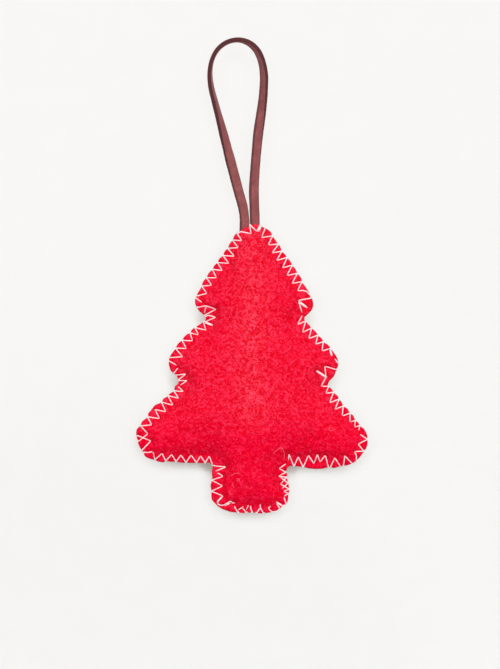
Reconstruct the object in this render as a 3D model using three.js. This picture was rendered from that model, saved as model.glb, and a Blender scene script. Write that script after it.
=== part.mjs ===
// Felt christmas tree ornament on a flat strap, in millimetres, hanging with +Z up and its front to -Y.
// The origin is the point under the top of the strap's loop, where a hook or a branch holds it.
// Two felt trees are zigzagged together round their rim over a fibre filling, and the strap's ends are
// sewn in between them at the tip.

import * as THREE from "three";
import { mergeVertices } from "three/addons/utils/BufferGeometryUtils.js";

// Driving dimensions: the tree
const treeWidth = 88;
const treeHeight = 111;
const hangDrop = 69.7;
const treeOffset = 5.5;
const feltThickness = 1.8;
const edgeThickness = 0.9;
const seatGap = 0.3;

// Driving dimensions: the filling
const puffDepth = 7.4;
const fillReach = 17;
const tightRound = 1;
const feltStep = 7;

// Driving dimensions: the seams
const stitchPitch = 3.52;
const stitchBite = 4.2;
const threadDiameter = 0.5;
const threadGap = 0.12;
const wrapWidth = 0.62;

// Driving dimensions: the strap
const strapWidth = 3.7;
const strapThickness = 1.6;
const strapEdgeRound = 0.4;
const loopWidth = 20.6;
const foldRise = 1.9;
const tailLength = 10;
const partRun = 20;
const loopStep = 3;

// Counts and ratios
const stepsPerRound = 3;
const stepsPerNotch = 2;
const tableSteps = 12;
const gridCount = 76;
const sweepCount = 260;
const sweepShare = 1.88;
const puffPower = 0.62;
const mitreShare = 1.6;
const triangleCornerCount = 3;

// The corners of each half of the outline, from the tip down to the foot. Places across are shares of
// treeWidth from the centre line, places up are shares of treeHeight from the foot, and the rounding is a
// share of treeWidth. The spine is the height on the centre line that the puffed surface runs in to.
const cornerShares = [
  { left: [-0.052, 0.988], right: [0.048, 1.003], round: 0.056, spine: 0.82 },
  { left: [-0.262, 0.734], right: [0.276, 0.722], round: 0.05, spine: 0.71 },
  { left: [-0.21, 0.672], right: [0.22, 0.671], round: 0.014, spine: 0.66 },
  { left: [-0.383, 0.533], right: [0.393, 0.526], round: 0.052, spine: 0.58 },
  { left: [-0.324, 0.45], right: [0.325, 0.446], round: 0.014, spine: 0.5 },
  { left: [-0.515, 0.3], right: [0.508, 0.278], round: 0.062, spine: 0.4 },
  { left: [-0.464, 0.174], right: [0.467, 0.158], round: 0.08, spine: 0.29 },
  { left: [-0.18, 0.173], right: [0.155, 0.163], round: 0.014, spine: 0.21 },
  { left: [-0.18, 0], right: [0.155, 0], round: 0.098, spine: 0.14 },
];
const spineTopShare = 0.86;
const spineFootShare = 0.11;

// How far in from the seam, towards the spine, each ring of the puffed felt lies
const ringShares = [0.1, 0.34, 0.66, 1];

// Where the closing seam at the foot and the lock stitch at the tip lie, as shares of the way round the
// rim, clockwise from the middle of the tip
const closingStartShare = 0.425;
const closingEndShare = 0.572;
const lockStartShare = 0.012;
const lockStitches = 3;
const lockPitch = 0.95;
const lockBite = 2.6;
const lockInset = 0.7;

// The strap's centre line from the left leg's root over the loop to the right leg's: how far across it
// lies, as a share of loopWidth, how far down, as a share of the drop from its top to its roots, and how
// far its face is turned from the front towards the inside of the loop, as a share of a quarter turn
const strapRouteShares = [
  [0.121, 1, 0],
  [0.102, 0.95, 0],
  [0.015, 0.85, 0],
  [-0.102, 0.717, 0.18],
  [-0.218, 0.583, 0.44],
  [-0.335, 0.449, 0.67],
  [-0.432, 0.341, 0.78],
  [-0.505, 0.248, 0.84],
  [-0.519, 0.175, 0.93],
  [-0.481, 0.111, 0.99],
  [-0.369, 0.05, 1],
  [-0.204, 0.013, 1],
  [0, 0, 0.98],
  [0.194, 0.016, 0.87],
  [0.34, 0.055, 0.76],
  [0.437, 0.117, 0.67],
  [0.481, 0.192, 0.58],
  [0.476, 0.28, 0.49],
  [0.442, 0.382, 0.36],
  [0.379, 0.516, 0.16],
  [0.33, 0.671, 0.04],
  [0.296, 0.85, 0],
  [0.306, 0.95, 0],
  [0.311, 1, 0],
];

// Sizes that follow from the driving dimensions
const seamInset = stitchBite + threadDiameter + threadGap;
const tipZ = -hangDrop;
const footZ = tipZ - treeHeight;
const restHalf = seatGap / 2;
const threadRadius = threadDiameter / 2;
const strapHalf = strapThickness / 2;
const pivotZ = foldRise - hangDrop;
const tailTopZ = pivotZ - strapHalf - seatGap;
const tailEndZ = tipZ - tailLength;
const cornerCount = cornerShares.length;
const sectorCount = 4 * cornerCount;
const footStation = (sectorCount - 1) / 2;
const tipStation = footStation - sectorCount / 2;

const feltRed = new THREE.MeshStandardMaterial({ color: 0xe01a38, roughness: 0.95, metalness: 0 });
const threadWhite = new THREE.MeshStandardMaterial({ color: 0xf4e6e4, roughness: 0.6, metalness: 0 });
const strapMaroon = new THREE.MeshStandardMaterial({ color: 0x8a464a, roughness: 0.85, metalness: 0 });
const fillWhite = new THREE.MeshStandardMaterial({ color: 0xf2f0ea, roughness: 1, metalness: 0 });

const mix = (a, b, share) => a + (b - a) * share;
const mixPoints = (a, b, share) => a.map((value, axis) => mix(value, b[axis], share));
const smooth = (share) => share * share * (3 - 2 * share);
const clamp01 = (share) => Math.min(1, Math.max(0, share));

// The outline's corners in order, clockwise as seen from the front: right half down, left half up
function outlineCorners() {
  const place = ([across, up], round) => ({
    x: treeOffset + across * treeWidth,
    z: footZ + up * treeHeight,
    round: round * treeWidth,
  });
  const right = cornerShares.map((corner) => place(corner.right, corner.round));
  const left = cornerShares.map((corner) => place(corner.left, corner.round));
  return [...right, ...left.reverse()];
}

// Unit direction and inward normal of each side, and the turn at each corner
const corners = outlineCorners();
corners.forEach((corner, index) => {
  const next = corners[(index + 1) % corners.length];
  const run = Math.hypot(next.x - corner.x, next.z - corner.z);
  corner.along = [(next.x - corner.x) / run, (next.z - corner.z) / run];
  corner.inward = [corner.along[1], -corner.along[0]];
});
corners.forEach((corner, index) => {
  const before = corners[(index + corners.length - 1) % corners.length];
  const cross = before.along[0] * corner.along[1] - before.along[1] * corner.along[0];
  const dot = before.along[0] * corner.along[0] + before.along[1] * corner.along[1];
  corner.before = before;
  corner.turn = Math.atan2(cross, dot);
});

// A corner moved in from the cut edge: its rounding shrinks outside the tree and grows in a notch
function insetCorner(corner, inset) {
  const { before, turn } = corner;
  const outer = turn < 0;
  const spread = 1 + before.inward[0] * corner.inward[0] + before.inward[1] * corner.inward[1];
  const shift = inset / spread;
  const x = corner.x + (before.inward[0] + corner.inward[0]) * shift;
  const z = corner.z + (before.inward[1] + corner.inward[1]) * shift;
  const radius = outer ? Math.max(corner.round - inset, tightRound) : corner.round + inset;
  const reach = radius * Math.tan(Math.abs(turn) / 2);
  const side = outer ? 1 : -1;
  const start = [x - before.along[0] * reach, z - before.along[1] * reach];
  const centre = [start[0] + before.inward[0] * side * radius, start[1] + before.inward[1] * side * radius];
  return { start, centre, turn, end: [x + corner.along[0] * reach, z + corner.along[1] * reach] };
}

// A point on the outline moved in by inset. A station counts two sectors a corner: its round, then the
// straight side that follows it.
function outlineAt(station, inset) {
  const wrapped = (station + sectorCount) % sectorCount;
  const sector = Math.floor(wrapped);
  const share = wrapped - sector;
  const index = Math.floor(sector / 2);
  const here = insetCorner(corners[index], inset);
  if (sector % 2 === 1) {
    const next = insetCorner(corners[(index + 1) % corners.length], inset);
    return mixPoints(here.end, next.start, share);
  }
  const angle = here.turn * share;
  const armX = here.start[0] - here.centre[0];
  const armZ = here.start[1] - here.centre[1];
  return [
    here.centre[0] + armX * Math.cos(angle) - armZ * Math.sin(angle),
    here.centre[1] + armX * Math.sin(angle) + armZ * Math.cos(angle),
  ];
}

// The stations of one half, from the middle of the tip to the middle of the foot, close enough together
// for the felt to follow its rounds
function halfStations() {
  const stations = [tipStation];
  for (let index = 0; index < cornerCount; index += 1) {
    const notch = corners[index].turn > 0;
    const arcSteps = notch ? stepsPerNotch : stepsPerRound;
    for (let step = 0; step < arcSteps; step += 1) {
      stations.push(2 * index + step / arcSteps);
    }
    const sideShare = index === cornerCount - 1 ? 0.5 : 1;
    const from = outlineAt(2 * index + 1, 0);
    const to = index === cornerCount - 1 ? outlineAt(footStation, 0) : outlineAt(2 * index + 2, 0);
    const run = Math.hypot(to[0] - from[0], to[1] - from[1]);
    const sideSteps = Math.max(1, Math.round(run / feltStep));
    for (let step = 0; step < sideSteps; step += 1) {
      stations.push(2 * index + 1 + (sideShare * step) / sideSteps);
    }
  }
  stations.push(footStation);
  return stations;
}
const rightStations = halfStations();
const mirrorStation = (station) => sectorCount - 1 - station;
const lastRow = rightStations.length - 1;
const rimStations = [
  ...rightStations,
  ...rightStations.slice(1, lastRow).reverse().map(mirrorStation),
];

// The point on the spine that a station's line of felt runs in to
function spinePoint(station) {
  const row = station > footStation ? mirrorStation(station) : station;
  const place = (row + tipStation) / 2;
  const index = Math.floor(place);
  const above = index < 0 ? spineTopShare : cornerShares[index].spine;
  const below = index + 1 < cornerCount ? cornerShares[index + 1].spine : spineFootShare;
  const first = index < 0 ? tipStation : index;
  const run = index < 0 || index + 1 === cornerCount ? 0.5 : 1;
  const up = mix(above, below, clamp01((place - first) / run));
  return [treeOffset, footZ + up * treeHeight];
}

// Half the gap between the two felts: they lie close, and part over the strap's ends at the tip
function partHalf(z) {
  const opened = smooth(clamp01((z - (tailEndZ - partRun)) / partRun));
  return mix(restHalf, strapHalf + seatGap, opened);
}

// How far the filling pushes the felt out, as a stiff skin held all along the seam, worked out on a
// square grid by relaxation
function relaxedPuff() {
  const cell = treeWidth / gridCount;
  const rows = Math.ceil(treeHeight / cell) + 2;
  const columns = gridCount + 2;
  const seam = [];
  for (let step = 0; step < sectorCount * stepsPerRound; step += 1) {
    seam.push(outlineAt(step / stepsPerRound, seamInset));
  }
  const left = Math.min(...seam.map(([x]) => x)) - cell / 2;
  const low = Math.min(...seam.map(([, z]) => z)) - cell / 2;
  const inside = (x, z) =>
    seam.reduce((odd, [x1, z1], index) => {
      const [x2, z2] = seam[(index + 1) % seam.length];
      const crosses = z1 > z !== z2 > z && x < x1 + ((x2 - x1) * (z - z1)) / (z2 - z1);
      return crosses ? !odd : odd;
    }, false);
  const height = new Float64Array(rows * columns);
  const free = [];
  for (let row = 1; row < rows - 1; row += 1) {
    for (let column = 1; column < columns - 1; column += 1) {
      if (inside(left + column * cell, low + row * cell)) {
        free.push(row * columns + column);
      }
    }
  }
  const spring = (cell / fillReach) ** 2;
  for (let sweep = 0; sweep < sweepCount; sweep += 1) {
    for (const at of free) {
      const around = height[at - 1] + height[at + 1] + height[at - columns] + height[at + columns];
      const settled = (around + spring) / (4 + spring);
      height[at] += sweepShare * (settled - height[at]);
    }
  }
  const highest = height.reduce((most, value) => Math.max(most, value), 0);
  return (x, z) => {
    const across = Math.min(columns - 2, Math.max(0, (x - left) / cell));
    const up = Math.min(rows - 2, Math.max(0, (z - low) / cell));
    const column = Math.floor(across);
    const row = Math.floor(up);
    const at = row * columns + column;
    const lower = mix(height[at], height[at + 1], across - column);
    const upper = mix(height[at + columns], height[at + columns + 1], across - column);
    return puffDepth * (mix(lower, upper, up - row) / highest) ** puffPower;
  };
}
const puffAt = relaxedPuff();

// A point of the felt's inner face on a station's line, 0 at the seam and 1 on the spine
function innerFace(station, share) {
  const [x, z] = mixPoints(outlineAt(station, seamInset), spinePoint(station), share);
  return [x, -(partHalf(z) + (share > 0 ? puffAt(x, z) : 0)), z];
}

// The same, but on the straight facets between the felt's rings
function innerFacet(station, share) {
  const stops = [0, ...ringShares];
  const upper = Math.max(1, stops.findIndex((stop) => stop >= share));
  const lower = stops[upper - 1];
  const within = (share - lower) / (stops[upper] - lower);
  return mixPoints(innerFace(station, lower), innerFace(station, stops[upper]), within);
}

// A closed geometry from points and triangles, its shared points merged and its slivers left out
function solid(points, triangles) {
  const raw = new THREE.BufferGeometry();
  raw.setAttribute("position", new THREE.Float32BufferAttribute(points.flat(), 3));
  raw.setIndex(triangles.flat());
  const merged = mergeVertices(raw);
  const index = Array.from(merged.index.array);
  const kept = [];
  for (let at = 0; at < index.length; at += triangleCornerCount) {
    const [a, b, c] = index.slice(at, at + triangleCornerCount);
    if (a !== b && b !== c && c !== a) {
      kept.push(a, b, c);
    }
  }
  merged.setIndex(kept);
  merged.computeVertexNormals();
  return merged;
}

// Joins rings of equally many points into a skin. Each ring closes on itself.
function skin(rings) {
  const count = rings[0].length;
  const triangles = [];
  for (let ring = 0; ring + 1 < rings.length; ring += 1) {
    for (let step = 0; step < count; step += 1) {
      const a = ring * count + step;
      const b = ring * count + ((step + 1) % count);
      triangles.push([a, b, b + count], [a, b + count, a + count]);
    }
  }
  return triangles;
}

// The other side of a piece: mirrored through the middle plane between the felts
function mirrored(geometry) {
  const copy = geometry.clone();
  copy.scale(1, -1, 1);
  const index = Array.from(copy.index.array);
  for (let at = 0; at < index.length; at += triangleCornerCount) {
    [index[at], index[at + 1]] = [index[at + 1], index[at]];
  }
  copy.setIndex(index);
  copy.computeVertexNormals();
  return copy;
}

// One felt tree: a rim that the seam presses thin, and a puffed middle
function frontFelt() {
  const edge = (lift) =>
    rimStations.map((station) => {
      const [x, z] = outlineAt(station, 0);
      return [x, -(partHalf(z) + lift), z];
    });
  const face = (share, lift) =>
    rimStations.map((station) => {
      const [x, y, z] = innerFace(station, share);
      return [x, y - lift, z];
    });
  const outer = [...ringShares].reverse().map((share) => face(share, feltThickness));
  const inner = ringShares.map((share) => face(share, 0));
  const rings = [...outer, face(0, feltThickness), edge(edgeThickness), edge(0), face(0, 0), ...inner];
  return solid(rings.flat(), skin(rings));
}

// The filling: it follows the felts' inner faces and stops short of the strap's ends
function stuffing() {
  const topZ = tailEndZ - seatGap;
  const rimShare = (station) => {
    const outerZ = outlineAt(station, seamInset)[1];
    const innerZ = spinePoint(station)[1];
    return outerZ > topZ ? (outerZ - topZ) / (outerZ - innerZ) : 0;
  };
  const face = (ringShare, side) =>
    rimStations.map((station) => {
      const [x, y, z] = innerFacet(station, Math.max(rimShare(station), ringShare));
      return [x, (y + seatGap) * side, z];
    });
  const front = ringShares.map((share) => face(share, 1));
  const back = ringShares.map((share) => face(share, -1));
  const half = skin(front);
  const behind = front.flat().length;
  const rim = rimStations.flatMap((station, a) => {
    const b = (a + 1) % rimStations.length;
    return [
      [a, b, b + behind],
      [a, b + behind, a + behind],
    ];
  });
  const frontFace = half.map(([a, b, c]) => [b, a, c]);
  const backFace = half.map((triangle) => triangle.map((point) => point + behind));
  return solid([...front, ...back].flat(), [...frontFace, ...rim, ...backFace]);
}

// Stations at even lengths along the middle of the seam
const seamMiddle = stitchBite / 2;
const seamTable = (() => {
  const steps = sectorCount * tableSteps;
  const table = [{ station: tipStation, length: 0 }];
  let last = outlineAt(tipStation, seamMiddle);
  for (let step = 1; step <= steps; step += 1) {
    const station = tipStation + step / tableSteps;
    const point = outlineAt(station, seamMiddle);
    const length = table[step - 1].length + Math.hypot(point[0] - last[0], point[1] - last[1]);
    table.push({ station, length });
    last = point;
  }
  return table;
})();
const seamLength = seamTable[seamTable.length - 1].length;

function stationAtLength(length) {
  const wanted = ((length % seamLength) + seamLength) % seamLength;
  const upper = Math.max(1, seamTable.findIndex((row) => row.length >= wanted));
  const [low, high] = [seamTable[upper - 1], seamTable[upper]];
  return mix(low.station, high.station, (wanted - low.length) / (high.length - low.length));
}

// Outward direction of the rim at a station
function outwardAt(station) {
  const out = outlineAt(station, -threadDiameter);
  const here = outlineAt(station, 0);
  const run = Math.hypot(out[0] - here[0], out[1] - here[1]);
  return new THREE.Vector3((out[0] - here[0]) / run, 0, (out[1] - here[1]) / run);
}

// A point of a thread's centre line: inset from the rim, lifted off the pressed rim's slope by its own
// radius and by the threads under it, with the direction away from the felt there
const toFront = new THREE.Vector3(0, -1, 0);
function threadPoint(length, inset, layer) {
  const station = stationAtLength(length);
  const [x, z] = outlineAt(station, inset);
  const slope = (feltThickness - edgeThickness) / seamInset;
  const offFelt = (threadRadius + threadGap + layer) * Math.hypot(1, slope);
  const y = -(partHalf(z) + edgeThickness + slope * inset + offFelt);
  const away = inset > 0 ? toFront : toFront.clone().add(outwardAt(station)).normalize();
  return { at: new THREE.Vector3(x, y, z), away };
}

// The point where a thread crosses the rim to meet the thread of the other side
function lockPoint(length, inset) {
  const station = stationAtLength(length);
  const [x, z] = outlineAt(station, inset);
  const y = -(partHalf(z) + threadRadius * mitreShare);
  return { at: new THREE.Vector3(x, y, z), away: outwardAt(station) };
}

// One zigzag: in to the bite, out over the rim, and back
function zigzag({ start, pitch, count, bite, layer, rimInset, overRim, closed }) {
  const points = [];
  const half = wrapWidth / 2;
  for (let stitch = 0; stitch < count; stitch += 1) {
    const inner = start + stitch * pitch;
    const outer = inner + pitch / 2;
    points.push(threadPoint(inner, bite, layer));
    points.push(threadPoint(outer - half, rimInset, layer));
    if (overRim) {
      points.push(lockPoint(outer, rimInset));
    }
    points.push(threadPoint(outer + half, rimInset, layer));
  }
  if (!closed) {
    points.push(threadPoint(start + count * pitch, bite, layer));
  }
  return threadTube(points, closed);
}

// A four-sided tube along a thread's points, mitred at its turns
function threadTube(points, closed) {
  const rings = points.map(({ at, away }, index) => {
    const wrap = (step) => (step + points.length) % points.length;
    const before = closed ? points[wrap(index - 1)].at : points[Math.max(0, index - 1)].at;
    const after = closed ? points[wrap(index + 1)].at : points[Math.min(points.length - 1, index + 1)].at;
    const arrive = at.clone().sub(before).normalize();
    const leave = after.clone().sub(at).normalize();
    const along = arrive.clone().add(leave).normalize();
    const side = along.clone().cross(away).normalize();
    const up = side.clone().cross(along).normalize();
    const bend = leave.clone().sub(arrive);
    const turned = bend.lengthSq() > 0 && arrive.lengthSq() > 0 && leave.lengthSq() > 0;
    const stretch = turned ? Math.min(mitreShare, 1 / Math.max(arrive.dot(along), 1 / mitreShare)) : 1;
    const across = turned ? bend.normalize() : side;
    return [side, up.clone().negate(), side.clone().negate(), up].map((arm) => {
      const offset = arm.clone().multiplyScalar(threadRadius);
      offset.addScaledVector(across, offset.dot(across) * (stretch - 1));
      return at.clone().add(offset).toArray();
    });
  });
  const triangles = skin(closed ? [...rings, rings[0]] : rings);
  if (!closed) {
    const last = 4 * (rings.length - 1);
    triangles.push([0, 2, 1], [0, 3, 2], [last, last + 1, last + 2], [last, last + 2, last + 3]);
  }
  return solid((closed ? [...rings, rings[0]] : rings).flat(), triangles);
}

const seamStitches = Math.round(seamLength / stitchPitch);
const seamPitch = seamLength / seamStitches;
const rimOut = -(threadRadius + threadGap);
const secondLayer = threadDiameter + threadGap;

function mainSeam() {
  return zigzag({
    start: 0,
    pitch: seamPitch,
    count: seamStitches,
    bite: stitchBite,
    layer: 0,
    rimInset: rimOut,
    overRim: true,
    closed: true,
  });
}

// The closing seam sews the stuffing gap shut, half a stitch out of step over the first seam
function closingSeam() {
  const first = Math.round((closingStartShare * seamLength) / seamPitch);
  const last = Math.round((closingEndShare * seamLength) / seamPitch);
  return zigzag({
    start: (first + 0.5) * seamPitch,
    pitch: seamPitch,
    count: last - first,
    bite: stitchBite,
    layer: secondLayer,
    rimInset: rimOut - secondLayer,
    overRim: true,
    closed: false,
  });
}

// The short back-and-forth stitch that locks the strap in, on top of the main seam
function lockStitch() {
  return zigzag({
    start: lockStartShare * seamLength,
    pitch: lockPitch,
    count: lockStitches,
    bite: lockBite,
    layer: secondLayer,
    rimInset: lockInset,
    overRim: false,
    closed: false,
  });
}

// The strap's section: a flat band with eased edges, as shares along its width and its thickness
function strapSection(at, widthWay, faceWay, thin) {
  const halfWidth = strapWidth / 2;
  const eased = halfWidth - strapEdgeRound;
  const corner = strapHalf - strapEdgeRound;
  const outline = [
    [eased, strapHalf],
    [halfWidth, corner],
    [halfWidth, -corner],
    [eased, -strapHalf],
    [-eased, -strapHalf],
    [-halfWidth, -corner],
    [-halfWidth, corner],
    [-eased, strapHalf],
  ];
  return outline.map(([across, through]) =>
    at.clone().addScaledVector(widthWay, across).addScaledVector(faceWay, through * thin).toArray(),
  );
}

// Closes the two open ends of a row of equal rings with fans
function capped(rings) {
  const count = rings[0].length;
  const last = count * (rings.length - 1);
  const triangles = skin(rings);
  for (let step = 1; step + 1 < count; step += 1) {
    triangles.push([0, step + 1, step], [last, last + step, last + step + 1]);
  }
  return solid(rings.flat(), triangles);
}

// The free strap: both roots end half round about the fold's axis, so that they can turn there
const sideways = new THREE.Vector3(1, 0, 0);
const endAngles = [80, 55, 30].map(THREE.MathUtils.degToRad);

// The strap's points and its turns there
const strapPoints = strapRouteShares.map(
  ([across, down]) => new THREE.Vector3(across * loopWidth, 0, mix(strapHalf, pivotZ, down)),
);
const strapTurns = strapRouteShares.map(([, , turn]) => new THREE.Vector3((turn * Math.PI) / 2, 0, 0));

function strapLoop() {
  const points = strapPoints;
  const curve = new THREE.CatmullRomCurve3(points, false, "centripetal");
  const turns = new THREE.CatmullRomCurve3(strapTurns, false, "catmullrom");
  const steps = Math.round(curve.getLength() / loopStep);
  const rootRings = (x, widthWay) =>
    endAngles.map((angle) => {
      const at = new THREE.Vector3(x, 0, pivotZ - strapHalf * Math.sin(angle));
      return strapSection(at, widthWay, toFront, Math.cos(angle));
    });
  const rings = rootRings(points[0].x, sideways);
  for (let step = 0; step <= steps; step += 1) {
    const share = curve.getUtoTmapping(step / steps);
    const atEnd = step === 0 || step === steps;
    const along = curve.getTangent(share);
    along.set(atEnd ? 0 : along.x, 0, along.z).normalize();
    const inward = new THREE.Vector3(along.z, 0, -along.x);
    const turn = atEnd ? 0 : turns.getPoint(share).x;
    const faceWay = toFront.clone().multiplyScalar(Math.cos(turn)).addScaledVector(inward, Math.sin(turn));
    const widthWay = along.clone().cross(faceWay).normalize();
    rings.push(strapSection(curve.getPoint(share), widthWay, faceWay, 1));
  }
  rings.push(...rootRings(points[points.length - 1].x, sideways.clone().negate()).reverse());
  return capped(rings);
}

// A sewn-in end: the flat strap between the felts, from just under the fold
function strapTail(x) {
  const ring = (z) => strapSection(new THREE.Vector3(x, 0, z), sideways, toFront, 1);
  return capped([ring(tailEndZ), ring(tailTopZ)]);
}

function piece(name, geometry, material) {
  const mesh = new THREE.Mesh(geometry, material);
  mesh.name = name;
  return mesh;
}

const felt = frontFelt();
const needleThread = mainSeam();
const closingThread = closingSeam();
const leftX = strapPoints[0].x;
const rightX = strapPoints[strapPoints.length - 1].x;

const ornament = new THREE.Group();
ornament.add(
  piece("front_felt", felt, feltRed),
  piece("back_felt", mirrored(felt), feltRed),
  piece("stuffing", stuffing(), fillWhite),
  piece("needle_thread", needleThread, threadWhite),
  piece("bobbin_thread", mirrored(needleThread), threadWhite),
  piece("closing_needle_thread", closingThread, threadWhite),
  piece("closing_bobbin_thread", mirrored(closingThread), threadWhite),
  piece("hanger_lock_stitch", lockStitch(), threadWhite),
  piece("hanger_loop", strapLoop(), strapMaroon),
  piece("hanger_tail_left", strapTail(leftX), strapMaroon),
  piece("hanger_tail_right", strapTail(rightX), strapMaroon),
);

export default ornament;
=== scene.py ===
"""Felt tree ornament on a suede strap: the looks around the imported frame.

Points are worked out in millimetres, x across, z up and y away from the viewer, and made into metres
when a mesh is built. The front felt is made first as a height over the middle plane, and the back felt is
the same form mirrored, with its own grain.
"""

import math

import bpy
import numpy as np
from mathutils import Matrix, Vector
from mathutils.bvhtree import BVHTree
from mathutils.kdtree import KDTree


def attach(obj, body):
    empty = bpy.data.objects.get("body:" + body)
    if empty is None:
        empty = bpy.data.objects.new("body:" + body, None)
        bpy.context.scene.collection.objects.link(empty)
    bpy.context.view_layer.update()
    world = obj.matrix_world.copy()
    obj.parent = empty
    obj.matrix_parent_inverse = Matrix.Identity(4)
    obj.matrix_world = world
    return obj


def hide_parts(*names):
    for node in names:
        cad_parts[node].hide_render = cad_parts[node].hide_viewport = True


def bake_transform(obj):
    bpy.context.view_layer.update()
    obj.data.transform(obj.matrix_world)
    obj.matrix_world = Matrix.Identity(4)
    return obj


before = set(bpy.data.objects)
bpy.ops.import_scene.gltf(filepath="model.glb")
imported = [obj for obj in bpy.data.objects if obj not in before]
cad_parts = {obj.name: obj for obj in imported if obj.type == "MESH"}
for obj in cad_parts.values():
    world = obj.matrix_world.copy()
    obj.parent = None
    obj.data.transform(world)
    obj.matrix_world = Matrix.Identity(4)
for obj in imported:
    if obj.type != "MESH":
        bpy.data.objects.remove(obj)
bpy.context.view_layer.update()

MM = 0.001

# The tree's outline, as in the part's source: corners from the tip down, as shares of its width from the
# centre line and of its height from the foot
TREE_WIDTH = 88.0
TREE_HEIGHT = 111.0
HANG_DROP = 69.7
TREE_OFFSET = 5.5
CORNER_SHARES = [
    # left across, left up, right across, right up, rounding, spine
    (-0.052, 0.988, 0.048, 1.003, 0.056, 0.82),
    (-0.262, 0.734, 0.276, 0.722, 0.05, 0.71),
    (-0.21, 0.672, 0.22, 0.671, 0.014, 0.66),
    (-0.383, 0.533, 0.393, 0.526, 0.052, 0.58),
    (-0.324, 0.45, 0.325, 0.446, 0.014, 0.5),
    (-0.515, 0.3, 0.508, 0.278, 0.062, 0.4),
    (-0.464, 0.174, 0.467, 0.158, 0.08, 0.29),
    (-0.18, 0.173, 0.155, 0.163, 0.014, 0.21),
    (-0.18, 0.0, 0.155, 0.0, 0.098, 0.14),
]
SPINE_TOP_SHARE = 0.86
SPINE_FOOT_SHARE = 0.11
TIGHT_ROUND = 1.0

# The felt and its filling
FELT_THICKNESS = 1.8
EDGE_THICKNESS = 0.9
SEAT_GAP = 0.3
PUFF_DEPTH = 7.4
FILL_REACH = 17.0
PUFF_POWER = 0.62

# The seam. The thread is drawn a little finer than its solid.
STITCH_BITE = 4.2
THREAD_DIAMETER = 0.5
THREAD_GAP = 0.12
SEAM_INSET = STITCH_BITE + THREAD_DIAMETER + THREAD_GAP
THREAD_RADIUS = 0.21

# The strap. Its route runs from the left leg's root over the loop to the right leg's: how far across, as a
# share of the loop's width, how far down from its top, and how far its face is turned inward.
STRAP_WIDTH = 3.7
STRAP_THICKNESS = 1.6
STRAP_EDGE_ROUND = 0.42
TAIL_LENGTH = 10.0
PART_RUN = 20.0
LOOP_WIDTH = 20.6
FOLD_RISE = 1.9
STRAP_ROUTE_SHARES = [
    (0.121, 1, 0),
    (0.102, 0.95, 0),
    (0.015, 0.85, 0),
    (-0.102, 0.717, 0.18),
    (-0.218, 0.583, 0.44),
    (-0.335, 0.449, 0.67),
    (-0.432, 0.341, 0.78),
    (-0.505, 0.248, 0.84),
    (-0.519, 0.175, 0.93),
    (-0.481, 0.111, 0.99),
    (-0.369, 0.05, 1),
    (-0.204, 0.013, 1),
    (0, 0, 0.98),
    (0.194, 0.016, 0.87),
    (0.34, 0.055, 0.76),
    (0.437, 0.117, 0.67),
    (0.481, 0.192, 0.58),
    (0.476, 0.28, 0.49),
    (0.442, 0.382, 0.36),
    (0.379, 0.516, 0.16),
    (0.33, 0.671, 0.04),
    (0.296, 0.85, 0),
    (0.306, 0.95, 0),
    (0.311, 1, 0),
]

TIP_Z = -HANG_DROP
FOOT_Z = TIP_Z - TREE_HEIGHT
STRAP_HALF = STRAP_THICKNESS / 2
PIVOT_Z = FOLD_RISE - HANG_DROP
TAIL_END_Z = TIP_Z - TAIL_LENGTH
CORNER_COUNT = len(CORNER_SHARES)
SECTOR_COUNT = 4 * CORNER_COUNT
FOOT_STATION = (SECTOR_COUNT - 1) / 2
TIP_STATION = -0.5
OUT = np.array([0.0, 1.0, 0.0])


def smooth(share):
    share = np.clip(share, 0, 1)
    return share * share * (3 - 2 * share)


def hollow(away, depth, width):
    """A soft hollow's depth at a distance from its middle."""
    return depth * np.exp(-((away / width) ** 2))


def unit(vectors):
    least = 1e-9
    return vectors / np.maximum(np.linalg.norm(vectors, axis=1), least)[:, None]


def lengths_along(path):
    """How far along a path each of its points lies."""
    return np.concatenate([[0], np.cumsum(np.linalg.norm(np.diff(path, axis=0), axis=1))])


def lifted(plan, height):
    """Places in plan with a height each, as x, height, z."""
    return np.stack([plan[:, 0], height, plan[:, 1]], 1)


def add_object(name, data):
    thing = bpy.data.objects.new(name, data)
    bpy.context.scene.collection.objects.link(thing)
    return thing


# Camera, at the photograph's angle: straight on to the front, framed as the photograph is


def make_camera():
    frame_width = 191.3
    middle_x, middle_z = (4.6, -111.9)
    distance = 1000.0
    data = bpy.data.cameras.new("camera")
    data.sensor_fit = "HORIZONTAL"
    data.sensor_width = 36.0
    data.lens = data.sensor_width * distance / frame_width
    camera = add_object("camera", data)
    camera.location = Vector((middle_x, -distance, middle_z)) * MM
    camera.rotation_euler = (math.pi / 2, 0, 0)
    bpy.context.scene.camera = camera


make_camera()


# Meshes


def new_piece(name, points, faces, material):
    """A mesh object from points in millimetres and blocks of equally long face rows."""
    rows = [row for block in faces for row in np.asarray(block).tolist()]
    mesh = bpy.data.meshes.new(name)
    mesh.from_pydata((np.asarray(points, float) * MM).tolist(), [], rows)
    mesh.polygons.foreach_set("use_smooth", [True] * len(mesh.polygons))
    mesh.materials.append(material)
    mesh.update()
    return add_object(name, mesh)


def point_attribute(piece, name, values):
    attribute = piece.data.attributes.new(name, "FLOAT", "POINT")
    attribute.data.foreach_set("value", np.asarray(values, np.float32).ravel())


def quads(index):
    """Quads between the rows of a grid of point numbers, each of which closes on itself."""
    beside = np.roll(index, -1, 1)
    blocks = [index[:-1], beside[:-1], beside[1:], index[1:]]
    return np.stack([block.ravel() for block in blocks], 1)


def halved(faces):
    """Each quad as two triangles."""
    return np.concatenate([faces[:, [0, 1, 2]], faces[:, [0, 2, 3]]])


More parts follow.
